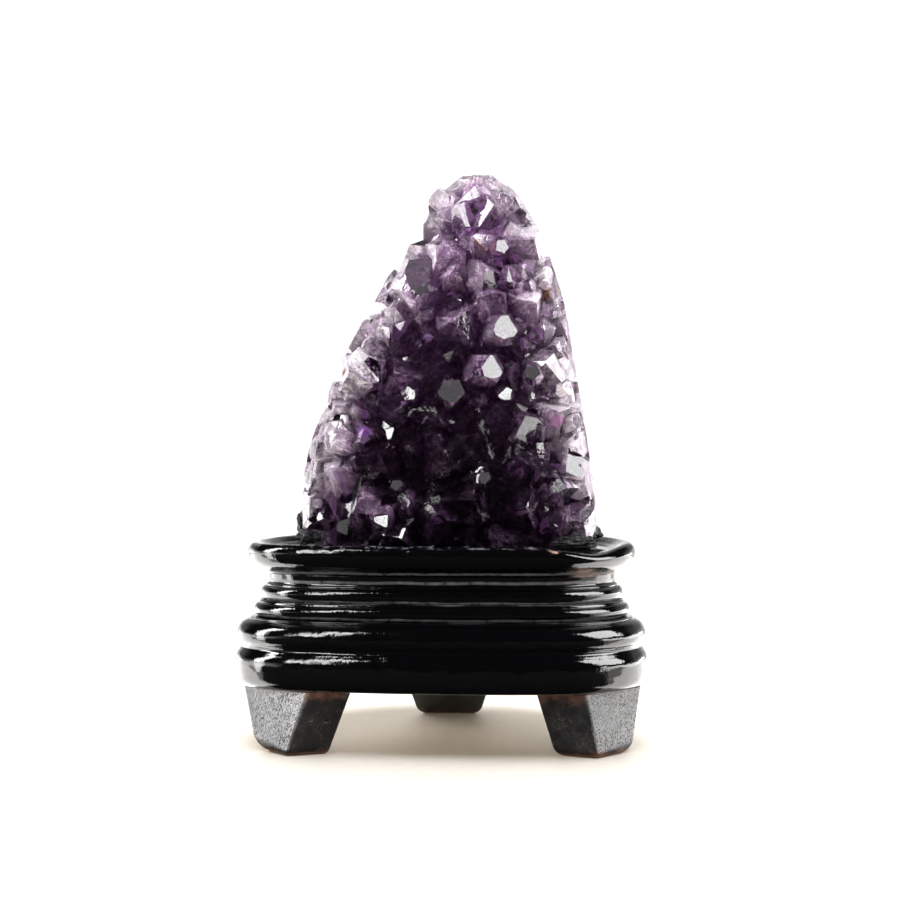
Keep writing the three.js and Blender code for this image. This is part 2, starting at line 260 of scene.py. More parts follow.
# Each foot's corners where it meets the plinth and at its sole, anticlockwise seen from above, and how
# far each corner rounds under
FEET = {
    "foot_front_left": (
        [(-57.4, -23), (-36.6, -36), (-24.2, -35.5), (-36, -14)],
        [(-52.2, -31), (-42.4, -38.6), (-30.8, -34.2), (-40, -21.5)],
        (5.0, 2.0, 1.2, 2.0),
    ),
    "foot_front_right": (
        [(37, -14), (26.8, -35.5), (40.8, -36), (57.8, -23)],
        [(41, -21.5), (32.2, -34.2), (44, -38.4), (54.4, -29.5)],
        (2.0, 2.4, 1.6, 3.6),
    ),
    "foot_back": (
        [(12, 37), (-9.5, 37), (-14.9, 17), (16.6, 17)],
        [(8, 33.5), (-5.5, 33.5), (-9.3, 23.4), (11, 23.4)],
        (2.4, 2.4, 2.4, 2.4),
    ),
}
FOOT_LEVELS = 26
FOOT_ROUND_LEVELS = 13
FOOT_EDGE_STEPS = 9
FOOT_EDGE_RADIUS = 1.1
FOOT_INTO_PLINTH = 0.05


def foot(name, top, sole, rounds):
    """A tapered foot: soft upright edges, each corner rounding under at the sole."""
    height = PLINTH_LOW.z + FOOT_INTO_PLINTH
    centre = np.mean(np.array(sole, float), axis=0)
    deepest = max(rounds)
    levels = [deepest * (1 - math.cos(a)) for a in np.linspace(0, math.pi / 2, FOOT_ROUND_LEVELS)]
    levels += list(np.linspace(deepest, height, FOOT_LEVELS)[1:])
    rings = []
    for z in levels:
        along = z / height
        corners = []
        for at_sole, at_top, round_under in zip(sole, top, rounds):
            corner = np.array(at_sole, float) * (1 - along) + np.array(at_top, float) * along
            under = 1 - min(z / round_under, 1)
            drawn = round_under * (1 - math.sqrt(max(0.0, 1 - under * under)))
            corners.append(corner + unit(centre - corner) * drawn)
        rings.append([(x, y, z) for x, y in rounded_polygon(corners, FOOT_EDGE_RADIUS)])
    points, faces = loft(rings)
    return new_object(name, points, faces)


def rounded_polygon(corners, radius):
    """A polygon's outline with its corners eased, as evenly many points on every side."""
    outline = []
    for before, here, after in zip(corners[-1:] + corners[:-1], corners, corners[1:] + corners[:1]):
        start = here + unit(before - here) * radius
        end = here + unit(after - here) * radius
        for t in np.linspace(0, 1, FOOT_EDGE_STEPS):
            outline.append((1 - t) ** 2 * start + 2 * t * (1 - t) * here + t ** 2 * end)
        next_start = after + unit(here - after) * radius
        for t in np.linspace(0, 1, FOOT_EDGE_STEPS + 1, endpoint=False)[1:]:
            outline.append(end + (next_start - end) * t)
    return outline


# ---- stone: outline and crystals

# Height, left edge, right edge, front and back of the stone's outline
STONE_OUTLINE = [
    (56.8, -42.4, 46.0, -23, 19),
    (68, -42.2, 45.6, -25, 19),
    (82, -40.8, 43.8, -25, 18),
    (96, -36.6, 41.8, -24, 17),
    (110, -31.2, 39.4, -23, 15),
    (124, -23.8, 37.2, -21.5, 13),
    (131, -19.4, 35.6, -20.8, 12),
    (137, -16.2, 33.8, -20.2, 10.8),
    (142, -11.8, 32, -19.5, 9.6),
    (149, -8.4, 29.4, -18, 7.6),
    (155, -4.2, 26, -16.3, 5.2),
    (161.5, -3.4, 22, -14.2, 2.0),
    (167.5, 4, 15.6, -9.5, -3),
]
FRONT_SQUARENESS = 2.5
BACK_SQUARENESS = 3.2

# Where the object is looked at from: azimuth (0 in front, 90 right), metres away, to the right and up
CAMERA_AZIMUTH = 2
CAMERA_DISTANCE = 0.4023
CAMERA_SIDEWAYS = 0.00192
CAMERA_HEIGHT = 0.0851
# The photograph's angle of view, as a lens in front of a sensor (both in millimetres)
SENSOR = 36
LENS = 52.72

# Where each softbox stands: azimuth and elevation, at one distance from the object's middle
LAMPS = {"left": (-30, 31), "side": (-69, 31), "right": (68, 31), "high": (0, 62)}
LAMP_DISTANCE = 0.8
OBJECT_MIDDLE = Vector((0, 0, 0.05))

# The largest crystals: sideways place, height, radius, and how milky each is
LARGE_CRYSTALS = [
    (15.5, 157, 7.5, 0.5), (4.2, 156.5, 7, 0.5), (10, 163, 6.5, 0.6), (-1, 145, 9, 0.65),
    (17.5, 144, 9, 0.35), (27, 147, 8, 0.8), (10.6, 129, 7.5, 0.6), (12, 106, 9.5, 0.85),
    (-14, 108, 8.5, 0.6), (14.5, 120, 8, 0.5), (-9, 133, 9.5, 0.75), (-13, 129, 7, 0.8),
    (-16, 121, 8.5, 0.3), (-5, 118, 8.5, 0.05), (3.5, 122, 8.5, 0.75), (-12.6, 103, 9.5, 0.5),
    (-27, 108, 8.5, 0.9), (-2, 98, 8, 0.15), (31, 111, 9, 0.95), (28, 128, 8.5, 0.9),
    (25.5, 95, 8.5, 0.3), (35, 96, 8, 0.75), (-23, 91, 7, 0.2), (-33, 79, 8.5, 0.85),
    (-18, 84, 10, 0.05), (-1, 84.5, 10, 0.05), (10.5, 90, 9, 0.05), (23, 82.5, 9, 0.12),
    (37, 74, 9, 0.6), (-25.5, 67, 9.5, 0.5), (-13, 73, 8.5, 0.15), (-1, 66.5, 9.5, 0.12),
    (11.5, 71, 10, 0.04), (25, 68, 10, 0.06), (36, 63, 8, 0.3), (-34, 92, 7, 0.85),
    (20, 107, 7, 0.1), (4, 137, 7, 0.6),
]
# Crystals with one face turned so that it mirrors a lamp: the middle of that face (sideways place
# and height), the crystal's radius, which lamp, how milky the crystal is, and how uneven the face
MIRROR_CRYSTALS = [
    (14, 109.8, 6.5, "right", 0.75, 1.6), (-19.5, 106, 5.5, "left", 0.8, 2),
    (17.9, 121.3, 5.5, "right", 0.6, 2), (20, 135, 4, "right", 0.6, 2.5),
    (-30.6, 91.2, 5, "side", 0.5, 1.2), (-36.9, 65.4, 5.8, "side", 0.1, 2.2),
    (3.9, 101.3, 6, "high", 0.1, 0.3), (19, 101, 2.8, "left", 0.1, 0),
    (39.5, 82.5, 6.5, "right", 0.7, 1), (-7.4, 134.7, 9.5, "high", 0.6, 0.5),
    (12.7, 77, 3, "high", 0.05, 0), (-17.5, 64, 3.2, "left", 0.1, 0.6),
    (18, 144, 3, "right", 0.3, 0.5), (11.2, 76.6, 2.4, "right", 0.05, 0),
    (-12.6, 75, 2.6, "high", 0.1, 0), (27, 107.5, 3.4, "high", 0.1, 0.4),
    (-8.4, 101.5, 3, "left", 0.4, 0.5),
]
# Spots of iron stain, one of pink quartz and two of deep violet: sideways place, height, radius and colour
STAINS = [
    (-6.2, 111.5, 3.2, (0.22, 0.06, 0.025)), (12.8, 144.5, 3.6, (0.19, 0.07, 0.055)),
    (33.8, 131.5, 3.0, (0.36, 0.17, 0.08)), (-29.7, 108, 2.6, (0.22, 0.08, 0.04)),
    (36, 93.5, 3.6, (0.40, 0.19, 0.36)),
    (-24.2, 90.3, 3.2, (0.17, 0.06, 0.26)), (-4, 117, 2.2, (0.16, 0.09, 0.22)),
]
SEED = 20731
# Between which angles the whole crystals pass into the ground edge, right and left
GROUND_RIGHT = (46, 66)
GROUND_LEFT = (50, 70)
GROUND_LESS = (112, 140)           # on the left the edge is ground less between these heights
# How crystals fill the front, coarse ones first: tries, radii, least spacing (as a share of both radii),
# and how deep their tips lie under the outline
FILLS = ((2600, (6.5, 9.5), 0.64, (0.2, 2.0)), (600, (2.6, 5), 0.6, (1.5, 5)))
FILL_SPREAD = 104                  # angle to each side of the front
LARGE_SPACING = 0.3
TIP_SUNK = (0.2, 2.0)
CRYSTAL_LENGTH = 15
SMALLEST_PARENT = 4                # radius from which a crystal has smaller ones at its side
TILT = 0.26                        # how far crystals lean at random
FORWARD = 0.5                      # how far crystals turn from the surface's normal towards the front
FACE_LEAN = math.radians(38.2)     # quartz: the point's faces lean this much from the crystal's axis
VICINAL = 0.09                     # how far a face's second plane leans from the first
# How far out a crystal's faces lie, as shares of its radius: the prism's, and the point's large and small
# ones
PRISM_REACH = (0.72, 1.0)
LARGE_REACH = (0, 0.1)
SMALL_REACH = (0.08, 0.5)
BROKEN_TIPS = 0.2                  # share of crystals
GROUND_PROUD = 5                   # how far tips would stand out where the edge is ground away
# How deep the massive quartz lies: under the crystals in front, at the ground edges and behind
BED_DEPTH, BED_DEPTH_EDGE, BED_DEPTH_BEHIND = 8.5, 0.9, 1.5
EDGE_PROUD, EDGE_ROUGH = 0.35, 0.2 # the ground surface that cuts off whatever stands out
SHELL_LEVELS, SHELL_STEPS = 110, 200
ROCK_TOP = 146
# How deep the root zone lies: under the quartz, more so at the sides, and where the basalt shows
ROOT_DEPTH, ROOT_DEPTH_SIDES, ROOT_DEPTH_BASALT = 11.5, 3, 1.2
ROOT_LEVELS, ROOT_STEPS = 130, 260


class ParkMiller:
    """Repeatable random numbers, the same as in the CAD source."""

    def __init__(self, seed):
        self.state = seed

    def random(self):
        self.state = self.state * 16807 % 2147483647
        return self.state / 2147483647

    def between(self, low, high):
        return low + (high - low) * self.random()

    def vector(self, low, high):
        return Vector([self.between(low, high) for _ in range(3)])


def smoothstep(x, low, high):
    t = min(max((x - low) / (high - low), 0.0), 1.0)
    return t * t * (3 - 2 * t)


def outline_at(height):
    """Left, right, front and back of the stone at a height, smoothed between the listed heights."""
    last = len(STONE_OUTLINE) - 1
    i = 0
    while i < last - 1 and height > STONE_OUTLINE[i + 1][0]:
        i += 1
    before, start = STONE_OUTLINE[max(i - 1, 0)], STONE_OUTLINE[i]
    end, after = STONE_OUTLINE[i + 1], STONE_OUTLINE[min(i + 2, last)]
    span = end[0] - start[0]
    t = min(max((height - start[0]) / span, 0.0), 1.0)
    sides = []
    for side in (1, 2, 3, 4):
        slope_start = (end[side] - before[side]) / (end[0] - before[0]) * span
        slope_end = (after[side] - start[side]) / (after[0] - start[0]) * span
        sides.append((2 * t ** 3 - 3 * t ** 2 + 1) * start[side] + (t ** 3 - 2 * t ** 2 + t) * slope_start
                     + (3 * t ** 2 - 2 * t ** 3) * end[side] + (t ** 3 - t ** 2) * slope_end)
    return sides


def stone_point(angle, height, inset=0.0):
    """A point on the stone's outer surface. Angle 0 looks straight ahead (-Y), 90 is the right (+X)."""
    left, right, front, back = outline_at(height)
    across, ahead = math.sin(math.radians(angle)), math.cos(math.radians(angle))
    power = 2 / (FRONT_SQUARENESS if ahead > 0 else BACK_SQUARENESS)
    half_width = max((right - left) / 2 - inset, 1)
    half_depth = max((back - front) / 2 - inset, 1)
    return Vector((
        (left + right) / 2 + half_width * math.copysign(abs(across) ** power, across),
        (front + back) / 2 - half_depth * math.copysign(abs(ahead) ** power, ahead),
        height,
    ))


def stone_normal(angle, height):
    """The direction that the stone's outer surface faces at a point."""
    along = stone_point(angle + 2, height) - stone_point(angle - 2, height)
    up = stone_point(angle, height + 2) - stone_point(angle, height - 2)
    return along.cross(up).normalized()


def angle_at(x, height):
    """The angle of the front surface's point at a sideways place."""
    left, right, _, _ = outline_at(height)
    share = (x - (left + right) / 2) / ((right - left) / 2)
    across = math.copysign(min(abs(share), 1) ** (FRONT_SQUARENESS / 2), share)
    return math.degrees(math.asin(across))


def ground(angle, height):
    """1 where the stone's edge is ground smooth, 0 where the crystals are whole."""
    if angle > 0:
        return smoothstep(angle, *GROUND_RIGHT)
    return smoothstep(-angle, *GROUND_LEFT) * (1 - 0.6 * smoothstep(height, *GROUND_LESS))


def tip_place(angle, height, sunk):
    """Where a crystal's tip is: a little under the outline, or past it where the edge is ground away."""
    share = ground(angle, height)
    return stone_point(angle, height, sunk * (1 - share) - GROUND_PROUD * share)


def turned(axis, towards):
    """An upright frame for a crystal: its axis, and the side where its first face is."""
    axis = axis.normalized()
    side = (towards - axis * towards.dot(axis)).normalized()
    return Matrix((side, axis.cross(side), axis)).transposed()


def heading(azimuth, elevation):
    """A direction: azimuth 0 is straight in front (-Y), 90 is the right (+X)."""
    a, e = math.radians(azimuth), math.radians(elevation)
    return Vector((math.sin(a) * math.cos(e), -math.cos(a) * math.cos(e), math.sin(e)))


def lamp_place(lamp):
    return OBJECT_MIDDLE + heading(*LAMPS[lamp]) * LAMP_DISTANCE


def front_place():
    """Where the object is looked at from."""
    right = heading(CAMERA_AZIMUTH + 90, 0)
    up = Vector((0, 0, CAMERA_HEIGHT))
    return heading(CAMERA_AZIMUTH, 0) * CAMERA_DISTANCE + right * CAMERA_SIDEWAYS + up


def growth_axis(angle, height, source):
    """A crystal's axis: between the surface's normal and the front, leaning at random."""
    upright = stone_normal(angle, height).lerp(heading(0, 8), FORWARD)
    return (upright + source.vector(-TILT, TILT)).normalized()


def grow_crystals(source):
    """Crystals set one by one wherever there is still room between those already set."""
    crystals = []

    def grow(angle, height, radius, sunk, spacing, milk=None):
        """Adds a crystal at a place on the surface if there is room; without a given milkiness, by chance."""
        tip = tip_place(angle, height, source.between(*sunk))
        frame = turned(growth_axis(angle, height, source), heading(source.between(0, 360), 0))
        if milk is None:
            milk = smoothstep(source.random(), 0.3, 0.8) * (0.25 + 0.75 * veiled_with_painted_light(tip))
        if all((other["tip"] - tip).length > spacing * (other["radius"] + radius) for other in crystals):
            crystals.append({"tip": tip, "frame": frame, "radius": radius, "milk": milk})

    for x, height, radius, lamp, milk, uneven in MIRROR_CRYSTALS:
        place = stone_point(angle_at(x, height), height, 1.0)
        to_lamp = (lamp_place(lamp) / MM - place).normalized()
        to_front = (front_place() / MM - place).normalized()
        face = (to_lamp + to_front).normalized()
        away = to_front - face * face.dot(to_front)
        axis = face * math.sin(FACE_LEAN) + away.normalized() * math.cos(FACE_LEAN)
        crystals.append({
            "tip": place, "frame": turned(axis, face), "radius": radius, "mirror": uneven, "milk": milk,
        })
    for x, height, radius, milk in LARGE_CRYSTALS:
        grow(angle_at(x, height), height, radius, TIP_SUNK, LARGE_SPACING, milk)
    lowest, highest = STONE_OUTLINE[0][0] - 1, STONE_OUTLINE[-1][0]
    for tries, radii, spacing, sunk in FILLS:
        for _ in range(tries):
            height = source.between(lowest, highest)
            angle = source.between(-FILL_SPREAD, FILL_SPREAD)
            grow(angle, height, source.between(*radii), sunk, spacing)
    return crystals


def veiled_with_painted_light(tip):
    """How milky crystals tend to be at a place: milkier at the edges, and by height as painted light and
    shade: milkier and paler high up, clear and darker low in the middle.
    """
    left, right, _, _ = outline_at(tip.z)
    edge = 1 - smoothstep(min(tip.x - left, right - tip.x), 3, 16)
    return max(edge, smoothstep(tip.z, 92, 150))


def side_crystals(parent, source):
    """Smaller crystals grown in line with their parent, a step below its point."""
    if parent["radius"] < SMALLEST_PARENT or "mirror" in parent:
        return []
    grown = []
    for _ in range(2):
        radius = parent["radius"] * source.between(0.35, 0.6)
        turn = source.between(0, 2 * math.pi)
        out = parent["radius"] * source.between(0.45, 0.8)
        step = parent["radius"] * source.between(0.35, 0.75)
        offset = parent["frame"] @ Vector((out * math.cos(turn), out * math.sin(turn), -step))
        nudge = Quaternion(heading(source.between(0, 360), 0), source.between(-0.12, 0.12)).to_matrix()
        grown.append({
            "tip": parent["tip"] + offset, "frame": nudge @ parent["frame"], "radius": radius,
            "milk": parent["milk"],
        })
    return grown


UP = np.array([0.0, 0.0, 1.0])


def corners_inside(planes):
    """The corner points of the solid inside a set of planes, each a unit normal and a distance."""
    normals = np.array([n for n, _ in planes])
    reach = np.array([d for _, d in planes])
    trios = np.array(list(itertools.combinations(range(len(planes)), 3)))
    sides = normals[trios]
    solvable = np.abs(np.linalg.det(sides)) > 1e-4
    corners = np.linalg.solve(sides[solvable], reach[trios[solvable]][..., None])[..., 0]
    inside = (corners @ normals.T <= reach + 1e-6).all(axis=1)
    return corners[inside]


def hull(name, points):
    """The closed convex solid round a set of points, in millimetres."""
    shape = bmesh.new()
    for point in points:
        shape.verts.new(point)
    bmesh.ops.remove_doubles(shape, verts=shape.verts, dist=0.02)
    made = bmesh.ops.convex_hull(shape, input=shape.verts)
    left_over = made["geom_interior"] + made["geom_unused"]
    loose = {item for item in left_over if isinstance(item, bmesh.types.BMVert)}
    bmesh.ops.delete(shape, geom=list(loose), context="VERTS")
    bmesh.ops.scale(shape, vec=(MM, MM, MM), verts=shape.verts)
    mesh = bpy.data.meshes.new(name)
    shape.to_mesh(mesh)
    shape.free()
    return bpy.data.objects.new(name, mesh)


def vicinal(plane, radius, uneven, source):
    """A face a few degrees off the given one, cutting part of it: growth faces are never one true plane."""
    normal, reach = plane
    tilted = unit(normal + uneven * np.array([source.between(-VICINAL, VICINAL) for _ in range(3)]))
    middle = normal * reach - UP * radius * source.between(0.2, 0.5)
    middle += normal * (reach - middle @ normal)
    return tilted, middle @ tilted + radius * source.between(0.0, 0.03)


def quartz_solid(crystal, source):
    """A quartz crystal: an uneven six-sided prism, three large and three small faces on its point."""
    radius = crystal["radius"]
    lean_out, lean_up = math.cos(FACE_LEAN), math.sin(FACE_LEAN)
    planes = []
    for k in range(6):
        turn = k * math.pi / 3
        out = np.array([math.cos(turn), math.sin(turn), 0])
        planes.append((out, radius * source.between(*PRISM_REACH)))
        out_by = source.between(*(LARGE_REACH if k % 2 == 0 else SMALL_REACH))
        planes.append((out * lean_out + UP * lean_up, radius * out_by))
        uneven = crystal.get("mirror", 1) if k == 0 else 1
        if uneven:
            planes.append(vicinal(planes[-1], radius, uneven, source))
            planes.append(vicinal(planes[-2], radius, uneven, source))
    if source.random() < BROKEN_TIPS and "mirror" not in crystal:
        slant = np.array([source.between(-0.5, 0.5), source.between(-0.5, 0.5), 1.0])
        planes.append((unit(slant), -radius * source.between(0.12, 0.3)))
    planes.append((-UP, CRYSTAL_LENGTH))
    points = corners_inside(planes)
    if "mirror" in crystal:
        normal, reach = planes[1]
        anchor = points[np.abs(points @ normal - reach) < 1e-4].mean(axis=0)
    else:
        anchor = points[np.argmax(points[:, 2])]
    return (points - anchor) @ np.array(crystal["frame"]).T + np.array(crystal["tip"])


def stone_shell(name, inset_at, rough=0.0):
    """A closed surface that follows the stone's outline, slightly uneven where rough is given."""
    rings = []
    for height in np.linspace(STONE_OUTLINE[0][0], STONE_OUTLINE[-1][0], SHELL_LEVELS):
        ring = []
        for step in range(SHELL_STEPS):
            angle = step * 360 / SHELL_STEPS - 180
            point = stone_point(angle, height, inset_at(angle, height))
            if rough and 0 < len(rings) < SHELL_LEVELS - 1:
                point += stone_normal(angle, height) * rough * noise.fractal(point / 3.5, 1.0, 2.0, 4)
            ring.append(point)
        rings.append(ring)
    return new_object(name, *loft(rings), smooth=False)


def boolean(target, operand, operation):
    """Joins, cuts or keeps what target shares with an object or a collection, and applies it."""
    modifier = target.modifiers.new(operation, "BOOLEAN")
    modifier.solver = "MANIFOLD"
    modifier.operation = operation
    if isinstance(operand, bpy.types.Collection):
        modifier.operand_type = "COLLECTION"
        modifier.collection = operand
    else:
        modifier.object = operand
    graph = bpy.context.evaluated_depsgraph_get()
    mesh = bpy.data.meshes.new_from_object(target.evaluated_get(graph))
    target.modifiers.clear()
    target.data = mesh


def mark_faces(piece, owner):
    """Marks every face with the number of its crystal: -1 for the bed and -2 for the ground edge."""
    marks = piece.data.attributes.new("crystal", "INT", "FACE")
    marks.data.foreach_set("value", np.full(len(piece.data.polygons), owner, np.int32))


def remove(*pieces):
    for piece in pieces:
        bpy.data.objects.remove(piece)


def quartz_mass():
    """All the quartz as one closed solid: crystals grown into each other on a bed of massive quartz."""
    source = ParkMiller(SEED)
    crystals = grow_crystals(source)
    for parent in list(crystals):
        crystals += side_crystals(parent, source)
    group = bpy.data.collections.new("crystals")
    bpy.context.scene.collection.children.link(group)
    for i, crystal in enumerate(crystals):
        piece = hull(f"crystal_{i}", quartz_solid(crystal, source))
        mark_faces(piece, i)
        group.objects.link(piece)
    bed = stone_shell("quartz", bed_inset)
    mark_faces(bed, -1)
    boolean(bed, group, "UNION")
    remove(*list(group.objects))
    bpy.data.collections.remove(group)
    edge = stone_shell("edge", lambda angle, height: -EDGE_PROUD, EDGE_ROUGH)
    mark_faces(edge, -2)
    boolean(bed, edge, "INTERSECT")
    remove(edge)
    return bed, crystals


def bed_inset(angle, height):
    """Massive quartz: deep under the crystals in front, shallow at the ground edges and behind."""
    facing = math.cos(math.radians(angle))
    if facing < -0.3:
        return BED_DEPTH_BEHIND
    shallow = ground(angle, height) * smoothstep(abs(angle), 60, 82)
    return BED_DEPTH - (BED_DEPTH - BED_DEPTH_EDGE) * shallow


# Pale, milky quartz towards the ground edges: how far it reaches in, and where it reaches furthest
BAND_REACH = (3.5, 12)
BAND_WIDEST = 106
BAND_WIDE_HALF = 24
# Painted light: between these heights the quartz is painted paler and milkier, as if lit more high up.
PAINTED_LIGHT_HEIGHTS = (96, 150)                   # between these heights the quartz gets paler too
MIRROR_TONE = (0.15, 0.0)          # how pale and how milky a face is that mirrors a lamp


def tone_faces(piece, crystals):
    """Marks how pale and milky the quartz is at each face, with painted light making it paler and milkier
    high up, whether it is ground, and how it grew.
    """
    bed = {"milk": 0.35, "frame": Matrix.Identity(3)}
    tones, axes = [], []
    for face, mark in zip(piece.data.polygons, piece.data.attributes["crystal"].data):
        x, y, z = face.center / MM
        normal, number = np.array(face.normal), mark.value
        crystal = crystals[number] if number >= 0 else bed
        left, right, front, _ = outline_at(z)
        edge = min(x - left, right - x) + 3 * noise.noise(Vector((x, y, z)) / 7)
        wider = math.exp(-((z - BAND_WIDEST) / BAND_WIDE_HALF) ** 2)
        band = 1 - smoothstep(edge, BAND_REACH[0] + 3 * wider, BAND_REACH[1] + 6 * wider)
        # Painted light: paler and milkier high up.
        high = smoothstep(z, *PAINTED_LIGHT_HEIGHTS)
        facet = (np.round(normal * 40) @ (7, 13, 29) + number * 17) % 97 / 97
        pale_with_painted_light = 0.7 * band + 0.08 * high + 0.3 * crystal["milk"]
        veil_with_painted_light = 0.03 + 0.85 * crystal["milk"] + 0.7 * band + 0.12 * high
        if number < 0:
            sideways = smoothstep(abs(normal[0]), 0.84, 0.97)
            pale_with_painted_light += sideways * (0.2 + 0.5 * smoothstep(y - front, 4, 26) - pale_with_painted_light)
            veil_with_painted_light *= 1 - 0.3 * sideways
        mirror = crystal["frame"] @ Vector((math.cos(FACE_LEAN), 0, math.sin(FACE_LEAN)))
        if "mirror" in crystal and mirror.dot(normal) > 0.985:
            pale_with_painted_light, veil_with_painted_light = MIRROR_TONE
        tones += [min(pale_with_painted_light, 1), min(veil_with_painted_light, 1.3), facet, float(number < 0)]
        axes += list(crystal["frame"].col[2])
    # The tone carries paleness and veil, including the painted light high up.
    piece.data.attributes.new("tone", "FLOAT_COLOR", "FACE").data.foreach_set("color", tones)
    piece.data.attributes.new("axis", "FLOAT_VECTOR", "FACE").data.foreach_set("vector", axes)


def mark_painted_shade_depths(piece):
    """Marks how deep each point lies under the stone's outline, in millimetres, and less high up: the depth
    that the amethyst turns into painted shade, clearer and darker deeper in.
    """
    painted_shade_depths = []
    for vertex in piece.data.vertices:
        x, y, z = vertex.co / MM
        left, right, front, back = outline_at(z)
        across = abs(x - (left + right) / 2) / ((right - left) / 2)
        ahead = (front + back) / 2 - y
        power = FRONT_SQUARENESS if ahead > 0 else BACK_SQUARENESS
        share = (across ** power + abs(ahead / ((back - front) / 2)) ** power) ** (1 / power)
        less_shade_high_up = 1 - 0.3 * smoothstep(z, 112, 150)
        painted_shade_depths.append((1 - share) * (back - front) / 2 * less_shade_high_up)
    piece.data.attributes.new("depth", "FLOAT", "POINT").data.foreach_set("value", painted_shade_depths)


# ---- stone: what is inside and at its foot


def rock_share(angle, height):
    """1 where the basalt shows behind, 0 where the quartz covers it; the border wanders."""
    stray = 0.25 * noise.fractal(stone_point(angle, height) / 11, 0.9, 2.1, 4)
    behind = smoothstep(-math.cos(math.radians(angle)) + stray, 0.3, 0.7)
    return behind * (1 - smoothstep(height + 80 * stray, 112, 134))


def root_inset(angle, height):
    side = 1 - abs(math.cos(math.radians(angle)))
    share = rock_share(angle, height)
    closing = 12 * smoothstep(height, ROCK_TOP - 12, ROCK_TOP)
    return (ROOT_DEPTH + ROOT_DEPTH_SIDES * side) * (1 - share) + ROOT_DEPTH_BASALT * share + closing


def root_zone():
    """What the crystals grew from: rough basalt behind, milky quartz in front, sealed under the crystals."""
    rings = []
    for height in np.linspace(STONE_OUTLINE[0][0] + 0.05, ROCK_TOP, ROOT_LEVELS):
        ring = []
        middle = (stone_point(90, height) + stone_point(-90, height)) / 2
        for angle in np.linspace(-180, 180, ROOT_STEPS, endpoint=False):
            point = stone_point(angle, height, root_inset(angle, height))
            share = rock_share(angle, height)
            lump = noise.fractal(point / 9, 0.9, 2.1, 5)
            crag = noise.fractal(point / 2.6, 0.7, 2.1, 4)
            push = (1.1 * lump + 0.55 * crag) * share + (1.9 * lump + 0.9 * crag) * (1 - share)
            out = Vector((point.x - middle.x, point.y - middle.y, 0)).normalized()
            ring.append(point + out * push)
        rings.append(ring)
    return new_object("root_zone", *loft(rings))


# Bits of the dark rock left at the foot of the stone: middle and half sizes
ROCK_CHIPS = [
    ((-42.4, -3.5, 62.4), (1.7, 4.4, 4.4)), ((-40, -10, 59.4), (3.5, 6, 2.4)),
    ((43.2, -4, 60), (4.2, 6, 3.0)), ((38.5, -13, 58.4), (7, 4, 1.6)),
]


def rock_chip(middle, half_sizes, seed):
    """A rough lump of basalt: a ball of facets pushed in and out."""
    shape = bmesh.new()
    bmesh.ops.create_icosphere(shape, subdivisions=4, radius=1)
    for vertex in shape.verts:
        way = vertex.co.normalized()
        size = 1 + 0.35 * noise.fractal(way * 1.6 + Vector((seed, 0, 0)), 0.8, 2.1, 5)
        vertex.co = Vector([(m + h * size * w) * MM for m, h, w in zip(middle, half_sizes, way)])
        vertex.co.z = max(vertex.co.z, STONE_OUTLINE[0][0] * MM + 0.0001)
    mesh = bpy.data.meshes.new("rock_chip")
    shape.to_mesh(mesh)
    shape.free()
    return add_object(f"rock_chip_{seed}", mesh)


# Cracks: how many are tried, how far to each side of the front, how deep, their radius, how wide they
# gape, how far they stay under the surface, and the rings and spokes of their mesh
FRACTURES = 420
FRACTURE_SPREAD = 112
FRACTURE_DEPTH = (2.0, 9.5)
FRACTURE_RADIUS = (1.2, 4.2)
FRACTURE_GAP = 0.07
FRACTURE_CLEARANCE = 0.25
RINGS, SPOKES = 4, 14


def fracture(centre, normal, radius, source):
    """A thin curved crack: a closed lens whose faces point into the crack, because the crack is air."""
    turn = Vector((0, 0, 1)).rotation_difference(normal).to_matrix()
    bend = source.between(-0.5, 0.5)
    seed = source.vector(0, 50)
    turns = np.linspace(0, 2 * math.pi, SPOKES, endpoint=False)
    ways = [Vector((math.cos(angle), math.sin(angle), 0)) for angle in turns]
    reach = [radius * (1 + 0.45 * noise.noise(seed + way * 1.3)) for way in ways]

    def place(side, ring, spoke):
        flat = ways[spoke] * reach[spoke] * ring / RINGS
        gape = max(0.0, 1 - 0.6 * (flat.length / radius) ** 2)
        wave = 0.5 * noise.noise(seed + flat / 1.6)
        flat.z = bend * flat.x ** 2 / radius * 0.6 + wave + side * FRACTURE_GAP / 2 * gape
        return centre + turn @ flat

    points = []
    for side in (1, -1):
        points.append(place(side, 0, 0))
        points += [place(side, ring, spoke) for ring in range(1, RINGS) for spoke in range(SPOKES)]
    half = len(points) // 2
    points += [place(0, RINGS, spoke) for spoke in range(SPOKES)]

    def number(side, ring, spoke):
        first = 2 * half if ring == RINGS else side * half + 1 + (ring - 1) * SPOKES
        return first + spoke % SPOKES

    faces = []
    for side, spoke in itertools.product((0, 1), range(SPOKES)):
        strip = [(side * half, number(side, 1, spoke), number(side, 1, spoke + 1))]
        for ring in range(1, RINGS):
            inner = number(side, ring, spoke), number(side, ring, spoke + 1)
            outer = number(side, ring + 1, spoke), number(side, ring + 1, spoke + 1)
            strip.append((inner[0], outer[0], outer[1], inner[1]))
        faces += [face[::-1] if side == 0 else face for face in strip]
    return points, faces


